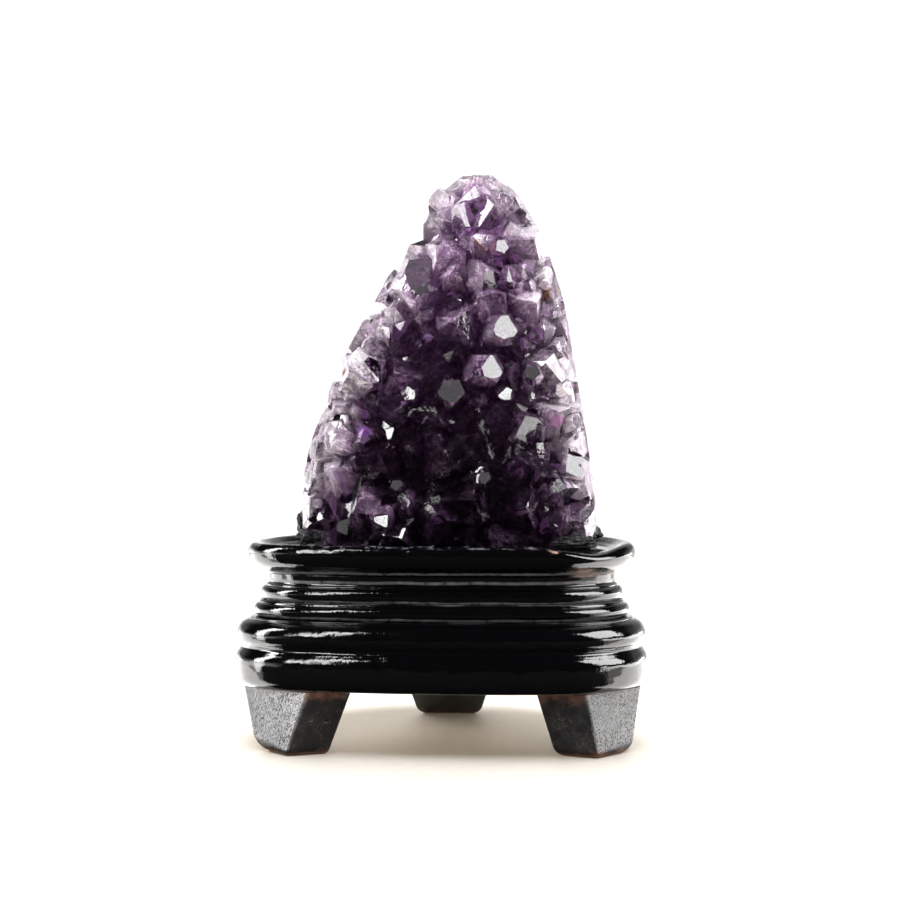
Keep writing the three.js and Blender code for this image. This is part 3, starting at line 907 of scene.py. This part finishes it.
def add_fractures(piece):
    """Cracks sealed inside the quartz, as thin hollows of the same mesh."""
    source = ParkMiller(SEED + 10)
    tree = BVHTree.FromObject(piece, bpy.context.evaluated_depsgraph_get())
    points, faces = [], []
    for _ in range(FRACTURES):
        height = source.between(STONE_OUTLINE[0][0] + 3, STONE_OUTLINE[-1][0] - 3)
        angle = source.between(-FRACTURE_SPREAD, FRACTURE_SPREAD)
        centre = stone_point(angle, height, source.between(*FRACTURE_DEPTH))
        radius = source.between(*FRACTURE_RADIUS)
        normal = source.vector(-1, 1).normalized()
        corners, sides = fracture(centre, normal, radius, source)
        if all(is_inside(tree, corner, FRACTURE_CLEARANCE) for corner in corners[::3]):
            faces += [tuple(i + len(points) for i in side) for side in sides]
            points += corners
    mesh = bpy.data.meshes.new("fractures")
    mesh.from_pydata([tuple(p * MM) for p in points], [], faces)
    mesh.shade_smooth()
    mesh.polygons.foreach_set("material_index", [1] * len(faces))
    whole = bmesh.new()
    whole.from_mesh(piece.data)
    whole.from_mesh(mesh)
    whole.to_mesh(piece.data)
    whole.free()
    bpy.data.meshes.remove(mesh)


def is_inside(tree, point, margin):
    """Whether a point in millimetres is inside the closed mesh, and at least the margin from its skin."""
    near, normal, _, distance = tree.find_nearest(point * MM)
    return (near - point * MM).dot(normal) > 0 and distance > margin * MM


# ---- materials


class Nodes:
    """Shorthand for building the nodes of a material or of the world."""

    def __init__(self, owner, output="ShaderNodeOutputMaterial", place=("ShaderNodeNewGeometry", "Position")):
        owner.use_nodes = True
        self.owner = owner
        self.tree = owner.node_tree
        self.tree.nodes.clear()
        self.output = self.add(output)
        self.place = self.add(place[0]).outputs[place[1]]

    def add(self, kind, inputs=None, **settings):
        node = self.tree.nodes.new(kind)
        for key, value in settings.items():
            setattr(node, key, value)
        for key, value in (inputs or {}).items():
            if isinstance(value, bpy.types.NodeSocket):
                self.tree.links.new(value, node.inputs[key])
            else:
                node.inputs[key].default_value = value
        return node

    def noise(self, size_mm, detail=3.0, rough=0.55, stretch=(1, 1, 1), seed=0.0, place=None):
        """Noise from 0 to 1 with features of about the given size."""
        moved = self.add("ShaderNodeMapping", {
            "Vector": place or self.place, "Location": (seed, seed * 0.7, seed * 1.3), "Scale": stretch,
        })
        return self.add("ShaderNodeTexNoise", {
            "Vector": moved.outputs[0], "Scale": 1 / (size_mm * MM), "Detail": detail, "Roughness": rough,
        }).outputs["Fac"]

    def cells(self, size_mm, feature, output):
        """Cells of about the given size, with ragged borders."""
        stray = self.add("ShaderNodeTexNoise", {"Vector": self.place, "Scale": 400.0, "Detail": 3.0})
        moved = self.vector("ADD", self.place, self.vector("SCALE", stray.outputs["Color"], scale=0.003))
        inputs = {"Vector": moved, "Scale": 1 / (size_mm * MM)}
        return self.add("ShaderNodeTexVoronoi", inputs, feature=feature).outputs[output]

    def ramp(self, value, *stops):
        """Colour along a value: stops are (position, colour)."""
        node = self.add("ShaderNodeValToRGB", {"Fac": value})
        elements = node.color_ramp.elements
        while len(elements) < len(stops):
            elements.new(0.5)
        for element, (position, colour) in zip(elements, stops):
            element.position = position
            element.color = (*colour, 1)
        return node.outputs["Color"]

    def spread(self, value, low, high, to_low=0.0, to_high=1.0, kind="LINEAR"):
        """The value moved from one range to another, and held inside it."""
        return self.add("ShaderNodeMapRange", {
            0: value, 1: low, 2: high, 3: to_low, 4: to_high,
        }, interpolation_type=kind).outputs[0]

    def fade(self, length, low_mm, high_mm, to_low=0.0, to_high=1.0):
        """The same for a height or distance, with its range in millimetres."""
        return self.spread(length, low_mm * MM, high_mm * MM, to_low, to_high)

    def strayed(self, length, reach_mm, *noise_shape):
        """A height or distance moved to and fro by noise, so that its borders wander."""
        reach = reach_mm * MM
        return self.plus(length, self.spread(self.noise(*noise_shape), 0.3, 0.7, -reach, reach))

    def math(self, operation, a, b=0.0):
        return self.add("ShaderNodeMath", {0: a, 1: b}, operation=operation).outputs[0]

    def times(self, a, b):
        return self.math("MULTIPLY", a, b)

    def plus(self, a, b):
        return self.math("ADD", a, b)

    def larger(self, a, b):
        return self.math("MAXIMUM", a, b)

    def vector(self, operation, a, b=(0, 0, 0), scale=1.0):
        """The result of vector arithmetic: a number for a dot product or distance, else a vector."""
        node = self.add("ShaderNodeVectorMath", {0: a, 1: b, 3: scale}, operation=operation)
        return node.outputs["Value" if operation in ("DOT_PRODUCT", "DISTANCE") else "Vector"]

    def parts(self, vector):
        """The three parts of a vector."""
        return self.add("ShaderNodeSeparateXYZ", {"Vector": vector}).outputs

    def attribute(self, name, output="Vector"):
        return self.add("ShaderNodeAttribute", attribute_type="GEOMETRY", attribute_name=name).outputs[output]

    def mix(self, share, a, b):
        """Colour a where the share is 0, and colour b where it is 1."""
        node = self.add("ShaderNodeMix", {"Factor": share}, data_type="RGBA")
        for socket, value in ((node.inputs[6], a), (node.inputs[7], b)):
            if isinstance(value, bpy.types.NodeSocket):
                self.tree.links.new(value, socket)
            else:
                socket.default_value = (*value, 1)
        return node.outputs[2]

    def bump(self, height, distance_mm, strength=1.0, normal=None):
        inputs = {"Height": height, "Distance": distance_mm * MM, "Strength": strength}
        if normal is not None:
            inputs["Normal"] = normal
        return self.add("ShaderNodeBump", inputs).outputs[0]

    def surface(self, **inputs):
        shader = self.add("ShaderNodeBsdfPrincipled", {
            key.replace("_", " "): value for key, value in inputs.items()
        })
        self.tree.links.new(shader.outputs[0], self.output.inputs["Surface"])
        return shader


def new_material(name):
    return Nodes(bpy.data.materials.new(name))


# The mouldings' lower edges, painted with a grey line as the floor's reflection and rougher there: heights
# and half width
PAINTED_REFLECTION_HEIGHTS = (17.6, 37.5, 42.1, 47.6, 50.4)
PAINTED_REFLECTION_HALF = 0.28
# Between these heights the rim's crest gets a broken painted highlight
RIM_CREST_HIGHLIGHT = (57.3, 57.8)
WOOD_COLOURS = ((0.3, (0.13, 0.07, 0.055)), (0.7, (0.31, 0.21, 0.17)))
# A chip on the rim, and a dent in the left front foot
CHIP_PLACE = Vector((32, -36.2, 57.6)) * MM
DENT_PLACE = Vector((-31.5, -34.8, 9.4)) * MM


def gloss_lacquer():
    """Thick black lacquer, a little uneven, with painted grey reflections under the mouldings and a painted
    highlight on the rim's crest, rougher at both, and bare below the tray's right side.
    """
    m = new_material("gloss_lacquer")
    x, _, z = m.parts(m.place)
    dust = m.spread(m.noise(0.5, 4), 0.72, 0.8)
    black = m.mix(m.times(dust, 0.25), (0.0008, 0.0007, 0.001), (0.05, 0.045, 0.045))
    wood = m.ramp(m.noise(1.5, 5, stretch=(0.15, 0.3, 1.5)), *WOOD_COLOURS)
    bare = m.times(m.times(m.fade(z, 52.5, 51.2), m.fade(z, 49.0, 49.4)), m.fade(x, 36, 40))
    bare = m.times(bare, m.spread(m.noise(4, 4, stretch=(0.4, 1, 1)), 0.38, 0.55))
    from_chip = m.strayed(m.vector("DISTANCE", m.place, CHIP_PLACE), 0.7, 1.2, 4)
    bare = m.larger(bare, m.fade(from_chip, 1.3, 1.7, 1.0, 0.0))
    height = m.strayed(z, 0.2, 14, 2)
    # Painted reflection: grey lines along the mouldings' lower edges, where the undersides mirror the floor;
    # the lacquer is rougher there too.
    painted_reflection = 0.0
    for edge in PAINTED_REFLECTION_HEIGHTS:
        off = m.math("ABSOLUTE", m.math("SUBTRACT", height, edge * MM))
        painted_reflection = m.larger(painted_reflection, m.fade(off, PAINTED_REFLECTION_HALF, PAINTED_REFLECTION_HALF + 0.25, 1.0, 0.0))
    painted_reflection = m.times(painted_reflection, m.spread(m.noise(2.5, 4), 0.3, 0.6, 0.35, 1.0))
    # Painted highlight: a broken pale line along the rim's crest, which is rougher there too.
    crest_highlight = m.spread(m.noise(1.4, 4, 0.65, stretch=(0.5, 0.8, 1)), 0.54, 0.63)
    painted_reflection = m.larger(painted_reflection, m.times(m.fade(z, *RIM_CREST_HIGHLIGHT), crest_highlight))
    # The grey mixed in here is the painted reflection and painted highlight.
    colour = m.mix(painted_reflection, m.mix(bare, black, wood), (0.075, 0.074, 0.078))
    rough = m.plus(m.spread(m.noise(6, 4), 0.35, 0.75, 0.035, 0.1), m.times(m.larger(bare, painted_reflection), 0.4))
    uneven = m.bump(m.noise(9, 2, stretch=(1, 1, 2.5)), 0.25, 0.35)
    m.surface(Base_Color=colour, Roughness=rough, IOR=1.52, Normal=m.bump(m.noise(1.1, 3), 0.06, 0.8, uneven))
    return m.owner


def satin_lacquer():
    """Dark satin lacquer on the feet, pitted on their outer sides, brown at their tops and lower edges."""
    m = new_material("satin_lacquer")
    facing = m.parts(m.add("ShaderNodeNewGeometry").outputs["Normal"])
    outer = m.spread(m.math("ABSOLUTE", facing[0]), 0.42, 0.5)
    pits = m.spread(m.noise(0.36, 3, 0.6, stretch=(1, 1, 0.5)), 0.55, 0.64)
    pits = m.times(pits, m.spread(m.noise(5, 3), 0.38, 0.62, 0.25, 1.0))
    pits = m.times(pits, m.spread(outer, 0, 1, 0.12, 1.0))
    flattened = Vector((1, 1, 2))
    from_dent = m.vector("DISTANCE", m.vector("MULTIPLY", m.place, flattened), DENT_PLACE * flattened)
    dent = m.fade(from_dent, 0.4, 1.3, 1.0, 0.0)
    normal = m.bump(m.times(dent, -1.0), 0.4, 0.8, m.bump(m.noise(3, 4), 0.35, 0.5))
    height = m.strayed(m.parts(m.place)[2], 1.5, 4, 4)
    thin_above = m.times(m.fade(height, 14.6, 17.2), m.spread(outer, 0, 1, 1.0, 0.15))
    thin = m.larger(thin_above, m.fade(height, 1.6, 0.4, 0.0, 0.6))
    thin = m.times(thin, m.spread(m.noise(1.6, 4), 0.35, 0.6, 0.25, 0.9))
    black = m.ramp(m.noise(5, 4), (0.35, (0.004, 0.0036, 0.0036)), (0.65, (0.014, 0.011, 0.010)))
    colour = m.mix(thin, m.mix(pits, black, (0.002, 0.002, 0.002)), (0.13, 0.045, 0.022))
    rough = m.plus(m.spread(m.noise(3, 4), 0.3, 0.7, 0.28, 0.4), m.times(pits, 0.3))
    normal = m.bump(m.times(pits, -1.0), 0.3, 0.9, normal)
    m.surface(Base_Color=colour, Roughness=rough, IOR=1.65, Normal=normal)
    return m.owner


# Colours of the clear quartz and of its milky veils, from the deepest to the palest
QUARTZ_COLOURS = (
    (0.0, (0.29, 0.15, 0.32)), (0.35, (0.50, 0.30, 0.53)), (0.65, (0.74, 0.60, 0.76)),
    (1.0, (0.92, 0.85, 0.93)),
)
VEIL_COLOURS = ((0.0, (0.33, 0.185, 0.35)), (0.4, (0.53, 0.375, 0.56)), (1.0, (0.86, 0.78, 0.86)))
QUARTZ_IOR = 1.544
GROUND_CELLS = 8                   # size of the crystals cut open on the ground faces
# How much each crystal's noise is drawn out along its axis: the share of its length that is taken away
DRAWN_OUT = 0.72


def amethyst():
    """Clear plum quartz, with veils of fine streaks along each crystal, paler at the ground edges, painted
    paler high up as light, and painted clearer and darker deeper in as shade.
    """
    m = new_material("amethyst")
    # The tone's paleness and veil include the painted light high up.
    pale_with_painted_light, veil_with_painted_light, facet = m.add("ShaderNodeSeparateColor", {"Color": m.attribute("tone", "Color")}).outputs
    is_ground = m.attribute("tone", "Alpha")
    cell = m.add("ShaderNodeSeparateColor", {"Color": m.cells(GROUND_CELLS, "F1", "Color")}).outputs[0]
    chance = m.add("ShaderNodeMix", {"Factor": is_ground, "A": facet, "B": cell}).outputs["Result"]
    pale_with_painted_light = m.plus(pale_with_painted_light, m.spread(chance, 0, 1, -0.13, 0.13))
    veil_with_painted_light = m.times(veil_with_painted_light, m.spread(chance, 0, 1, 0.2, 1.7))
    axis = m.attribute("axis")
    along = m.vector("DOT_PRODUCT", m.place, axis)
    pressed = m.vector("SUBTRACT", m.place, m.vector("SCALE", axis, scale=m.times(along, DRAWN_OUT)))
    shift = m.add("ShaderNodeCombineXYZ", {0: chance, 1: chance, 2: chance}).outputs[0]
    own = m.vector("ADD", pressed, shift)
    speck = m.spread(m.noise(1.0, 4, 0.7, place=own), 0.3, 0.7, -0.22, 0.22)
    cloud = m.spread(m.noise(6, 4, 0.6), 0.3, 0.7, -0.25, 0.25)
    clear_colour = m.ramp(m.plus(pale_with_painted_light, m.plus(cloud, speck)), *QUARTZ_COLOURS)
    veil_colour = m.ramp(m.plus(pale_with_painted_light, speck), *VEIL_COLOURS)
    share = m.larger(veil_streaks(m, veil_with_painted_light, own), cracks_and_seams(m, own, is_ground))
    # Painted shade: the veil fades with depth, so deeper places stay clear and look darker.
    share = m.times(m.times(share, m.spread(m.attribute("depth", "Fac"), 1.0, 7, 1.0, 0.08)), 0.85)
    share = m.spread(share, 0.0, 0.8, 0.0, 0.8)
    colour = m.mix(m.spread(share, 0.05, 0.5), clear_colour, veil_colour)
    for x, height, radius, stain_colour in STAINS:
        centre = stone_point(angle_at(x, height), height, 2) * MM
        away = m.strayed(m.vector("DISTANCE", m.place, centre), 0.4 * radius, 2.5, 4, 0.7)
        spot = m.fade(away, 0.5 * radius, radius, 1.0, 0.0)
        colour = m.mix(spot, colour, stain_colour)
        share = m.larger(share, m.times(spot, 0.6))
    growth_lines = m.noise(0.5, 2, place=m.vector("SCALE", axis, scale=along))
    normal = m.bump(growth_lines, 0.03, 0.6, m.bump(m.noise(3.5, 4, 0.6), 0.12, 0.5))
    shader = m.surface(Base_Color=colour, Roughness=0.03, IOR=QUARTZ_IOR, Normal=normal)
    m.tree.links.new(m.math("SUBTRACT", 1.0, share), shader.inputs["Transmission Weight"])
    absorption = m.add("ShaderNodeVolumeAbsorption", {"Color": (0.5, 0.38, 0.52, 1), "Density": 170.0})
    m.tree.links.new(absorption.outputs[0], m.output.inputs["Volume"])
    return m.owner


def veil_streaks(m, veil_with_painted_light, own):
    """How milky each place is: patches of streaks and threads, and an even haze where the veil is thick."""
    patches = m.spread(m.noise(4.5, 2, 0.5, place=own), 0.36, 0.58, 0.1, 1.0)
    streaks = m.spread(m.noise(1.3, 6, 0.75, place=own), 0.44, 0.6, 0.08, 1.0)
    threads = m.spread(m.noise(0.55, 3, 0.7, place=own), 0.5, 0.62)
    haze = m.spread(veil_with_painted_light, 0.35, 1.7, 0.0, 0.55)
    return m.larger(m.times(m.times(patches, veil_with_painted_light), m.larger(streaks, threads)), haze)


def cracks_and_seams(m, own, is_ground):
    """Pale hairlines in patches, and on ground faces the borders between crystals."""
    contour = m.math("ABSOLUTE", m.math("SUBTRACT", m.noise(7, 3, 0.55, place=own), 0.5))
    hairline = m.times(m.spread(contour, 0.0, 0.011, 0.5, 0.0), m.spread(m.noise(4, 2, seed=3), 0.5, 0.6))
    border = m.spread(m.cells(GROUND_CELLS, "DISTANCE_TO_EDGE", "Distance"), 0.0, 0.06, 0.6, 0.0)
    return m.larger(hairline, m.times(border, is_ground))


# Colours of the basalt, of the milky quartz low and high up in front of it, painted near black low down as
# shade and pale high up as light, and of the lumps at the foot
BASALT_COLOURS = ((0.3, (0.022, 0.024, 0.020)), (0.5, (0.075, 0.075, 0.066)), (0.72, (0.21, 0.20, 0.175)))
PAINTED_SHADE_LOW_COLOURS = ((0.4, (0.004, 0.003, 0.004)), (0.6, (0.02, 0.014, 0.02)), (0.72, (0.18, 0.15, 0.18)))
PAINTED_LIGHT_HIGH_COLOURS = ((0.3, (0.10, 0.05, 0.10)), (0.5, (0.30, 0.21, 0.29)), (0.68, (0.80, 0.74, 0.78)))
LUMP_COLOURS = ((0.4, (0.003, 0.003, 0.003)), (0.6, (0.012, 0.012, 0.011)), (0.74, (0.12, 0.11, 0.11)))


def root_stone():
    """Dark basalt behind; in front a milky, feathery quartz, painted near black low down as shade and pale
    towards the top as light.
    """
    m = new_material("root_stone")
    tone = m.noise(5, 8, 0.75)
    basalt = m.ramp(tone, *BASALT_COLOURS)
    green = m.spread(m.noise(9, 5, 0.7, seed=5), 0.52, 0.66, 0.0, 0.6)
    rust = m.spread(m.noise(6, 5, 0.7, seed=9), 0.6, 0.7, 0.0, 0.6)
    basalt = m.mix(rust, m.mix(green, basalt, (0.055, 0.085, 0.06)), (0.15, 0.075, 0.035))
    pores = m.spread(m.cells(1.7, "F1", "Distance"), 0.16, 0.34, 1.0, 0.0)
    pores = m.times(pores, m.spread(m.noise(7, 3, seed=2), 0.45, 0.6))
    basalt = m.mix(m.times(pores, 0.8), basalt, (0.012, 0.012, 0.011))
    feather = m.noise(2.2, 6, 0.7, stretch=(1, 0.6, 1.2))
    _, y, z = m.parts(m.place)
    # Painted shade and light: the quartz goes from near black low down to pale high up.
    milky_painted_light_and_shade = m.mix(m.fade(z, 78, 140), m.ramp(feather, *PAINTED_SHADE_LOW_COLOURS), m.ramp(feather, *PAINTED_LIGHT_HIGH_COLOURS))
    behind = m.fade(m.plus(y, m.spread(tone, 0.3, 0.7, -2 * MM, 2 * MM)), 4, 7)
    colour = m.mix(behind, milky_painted_light_and_shade, basalt)
    normal = m.bump(m.times(pores, -1.0), 0.5, 0.8, m.bump(m.noise(1.2, 8, 0.75), 0.8, 1.0))
    m.surface(Base_Color=colour, Roughness=0.8, Normal=normal)
    return m.owner


def chip_stone():
    """The near-black rock of the lumps at the stone's foot."""
    m = new_material("chip_stone")
    colour = m.ramp(m.noise(1.6, 6, 0.7), *LUMP_COLOURS)
    m.surface(Base_Color=colour, Roughness=0.42, Normal=m.bump(m.noise(0.9, 6, 0.7), 0.5, 0.9))
    return m.owner


def fracture_skin():
    """The walls of the cracks: clear, partly frosted quartz."""
    m = new_material("fracture_skin")
    m.surface(
        Base_Color=(0.97, 0.95, 0.97, 1), Roughness=m.spread(m.noise(1.5, 3), 0.35, 0.65, 0.05, 0.3),
        IOR=QUARTZ_IOR, Normal=m.bump(m.noise(0.8, 3), 0.1, 0.6), Transmission_Weight=1.0,
    )
    return m.owner


def table_top():
    """A plain pale table."""
    m = new_material("table_top")
    colour = m.ramp(m.noise(3, 4), (0.4, (0.90, 0.80, 0.66)), (0.6, (0.93, 0.83, 0.69)))
    m.surface(Base_Color=colour, Roughness=0.6, Normal=m.bump(m.noise(0.9, 3), 0.05, 0.6))
    return m.owner


def paint(piece, material):
    piece.data.materials.clear()
    piece.data.materials.append(material)


# ---- studio: places and sizes of lamps in metres


def camera():
    data = bpy.data.cameras.new("camera")
    data.sensor_width = SENSOR
    data.lens = LENS
    eye = add_object("camera", data)
    eye.location = front_place()
    eye.rotation_euler = (math.pi / 2, 0, math.radians(CAMERA_AZIMUTH))
    bpy.context.scene.camera = eye


def flat_piece(name, corners, height, material):
    """A flat stage piece, given by its corners in millimetres."""
    points = [(x, y, height) for x, y in corners]
    piece = new_object(name, points, [tuple(range(len(corners)))], smooth=False)
    paint(piece, material)
    return piece


def new_light(name, kind, direction, glossy=True):
    """A light that shines in a direction and that the camera doesn't see."""
    light = add_object(name, bpy.data.lights.new(name, kind))
    light.rotation_mode = "QUATERNION"
    light.rotation_quaternion = direction.to_track_quat("-Z", "Y")
    light.visible_camera = False
    light.visible_glossy = glossy
    return light


def softbox(name, place, aim, size, radiance, glossy=True):
    light = new_light(name, "AREA", Vector(aim) - Vector(place), glossy)
    light.location = place
    light.data.shape = "RECTANGLE"
    light.data.size, light.data.size_y = size
    light.data.energy = radiance * math.pi * size[0] * size[1]
    return light


def receivers(light, pieces, state):
    """Lets a light fall only on the pieces (INCLUDE), or on everything but them (EXCLUDE)."""
    group = bpy.data.collections.new(light.name)
    for piece in pieces:
        group.objects.link(piece)
    for item in group.collection_objects:
        item.light_linking.link_state = state
    light.light_linking.receiver_collection = group


def light_object(floor, stone):
    """Softboxes on the object, which leave the floor plain."""
    for light in (
        softbox("overhead", (0, 0.4, 1.0), (0, 0, 0), (0.8, 0.8), 7.3, glossy=False),
        softbox("left_front_box", lamp_place("left"), OBJECT_MIDDLE, (0.065, 0.56), 20),
        softbox("left_side_box", lamp_place("side"), OBJECT_MIDDLE, (0.14, 0.7), 20),
        softbox("right_box", lamp_place("right"), OBJECT_MIDDLE, (0.48, 0.6), 13.5),
    ):
        receivers(light, [floor], "EXCLUDE")
    receivers(softbox("high_box", lamp_place("high"), OBJECT_MIDDLE, (0.22, 0.2), 1.5), stone, "INCLUDE")


def light_floor(floor):
    """A very soft sun from above and two softboxes, which light the floor alone and keep it pale."""
    sun = new_light("floor_sun", "SUN", -heading(180, 86), glossy=False)
    sun.data.energy = 4.9
    sun.data.angle = math.radians(60)
    sun.data.color = (0.81, 0.89, 1.03)
    behind = softbox("behind_floor", (-0.25, 0.85, 0.2), (0, 0, 0), (1.3, 0.3), 15, glossy=False)
    before = softbox("before_floor", (0, -0.9, 0.25), (0, 0, 0), (1.6, 0.3), 3, glossy=False)
    before.data.color = (1, 0.75, 0.45)
    for light in (sun, behind, before):
        receivers(light, [floor], "INCLUDE")


def add_panels():
    """Pale panels that show in the lacquer: a strip on the left, the table at both sides, two low walls."""
    for light in (
        softbox("left_strip", (-0.138, -0.071, 0.1), (-0.051, -0.034, 0.1), (0.022, 0.2), 10),
        softbox("left_table", (-0.263, 0.074, 0.001), (-0.263, 0.074, 1), (0.40, 0.26), 6.3),
        softbox("right_table", (0.263, 0.074, 0.001), (0.263, 0.074, 1), (0.40, 0.26), 4.7),
    ):
        light.visible_diffuse = False
        light.visible_transmission = False
    for x, radiance in ((-0.5, 4.8), (0.5, 10.5)):
        wall = softbox("low_panel", (x, 0.05, 0.03), (0, 0.05, 0.03), (0.8, 0.06), radiance)
        wall.visible_transmission = False


def add_black_card():
    """A card in front of the object that only shows in the lacquer, as the dark side of the room."""
    black = new_material("black_card")
    black.surface(Base_Color=(0.002, 0.002, 0.002, 1), Roughness=1.0)
    corners = [(45, -29), (-45, -29), (-1350, -790), (-1350, -1500), (1320, -1500), (1320, -830)]
    card = flat_piece("black_card", corners, 0.8, black.owner)
    card.visible_camera = False
    card.visible_diffuse = False
    card.visible_shadow = False
    card.visible_transmission = False


def surroundings():
    """A bright backdrop behind and a low wall on the left in a dim room, and plain white to the camera."""
    bpy.context.scene.world = bpy.data.worlds.new("studio")
    m = Nodes(bpy.context.scene.world, "ShaderNodeOutputWorld", ("ShaderNodeTexCoord", "Generated"))
    x, y, z = m.parts(m.place)
    path = m.add("ShaderNodeLightPath").outputs

    def soft(value, *ranges):
        return m.spread(value, *ranges, kind="SMOOTHSTEP")

    mirrored = m.times(path["Is Glossy Ray"], m.math("SUBTRACT", 1.0, soft(z, 0.08, 0.3, 1.0, 0.3)))
    low = m.times(soft(z, 0.35, 0.65, 1.0, 0.0), m.math("SUBTRACT", 1.0, mirrored))
    backdrop = m.times(soft(y, 0.15, 0.5, 0.0, 1.0), low)
    wall = m.times(soft(x, -0.75, -0.5, 1.0, 0.0), soft(z, 0.05, 0.25, 1.0, 0.0))
    glow = m.plus(m.plus(m.times(backdrop, 1.6), m.times(wall, 2.5)), 0.025)
    strength = m.add("ShaderNodeMix", {"Factor": path["Is Camera Ray"], "A": glow, "B": 1.1})
    light = m.add("ShaderNodeBackground", {"Color": (1, 1, 1, 1), "Strength": strength.outputs["Result"]})
    m.tree.links.new(light.outputs[0], m.output.inputs["Surface"])


def studio(stone):
    surroundings()
    floor = flat_piece("floor", [(-800, -600), (800, -600), (800, 525), (-800, 525)], 0, table_top())
    light_object(floor, stone)
    light_floor(floor)
    add_panels()
    add_black_card()
    scene = bpy.context.scene
    scene.view_settings.view_transform = "Standard"
    scene.cycles.max_bounces = 24
    scene.cycles.transmission_bounces = 20
    scene.cycles.glossy_bounces = 8
    scene.cycles.sample_clamp_indirect = 6.0


# ---- the object


def finish_piece(piece, material, node):
    paint(piece, material)
    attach(piece, "root")
    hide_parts(node)


def main():
    camera()
    gloss, satin = gloss_lacquer(), satin_lacquer()
    finish_piece(carved_board("plinth_board", PLINTH_STROKES), gloss, "plinth")
    finish_piece(carved_board("waist_board", WAIST_STROKES), gloss, "waist")
    finish_piece(carved_board("tray_board", TRAY_STROKES, rim_dip), gloss, "top_tray")
    for node, (top, sole, rounds) in FEET.items():
        finish_piece(foot(node + "_block", top, sole, rounds), satin, node)
    quartz, crystals = quartz_mass()
    tone_faces(quartz, crystals)
    mark_painted_shade_depths(quartz)
    add_fractures(quartz)
    finish_piece(quartz, amethyst(), "amethyst_cluster")
    quartz.data.materials.append(fracture_skin())
    inside = root_zone()
    finish_piece(inside, root_stone(), "amethyst_cluster")
    basalt = chip_stone()
    for i, (middle, half_sizes) in enumerate(ROCK_CHIPS):
        finish_piece(rock_chip(middle, half_sizes, i), basalt, "amethyst_cluster")
    studio([quartz, inside])


main()
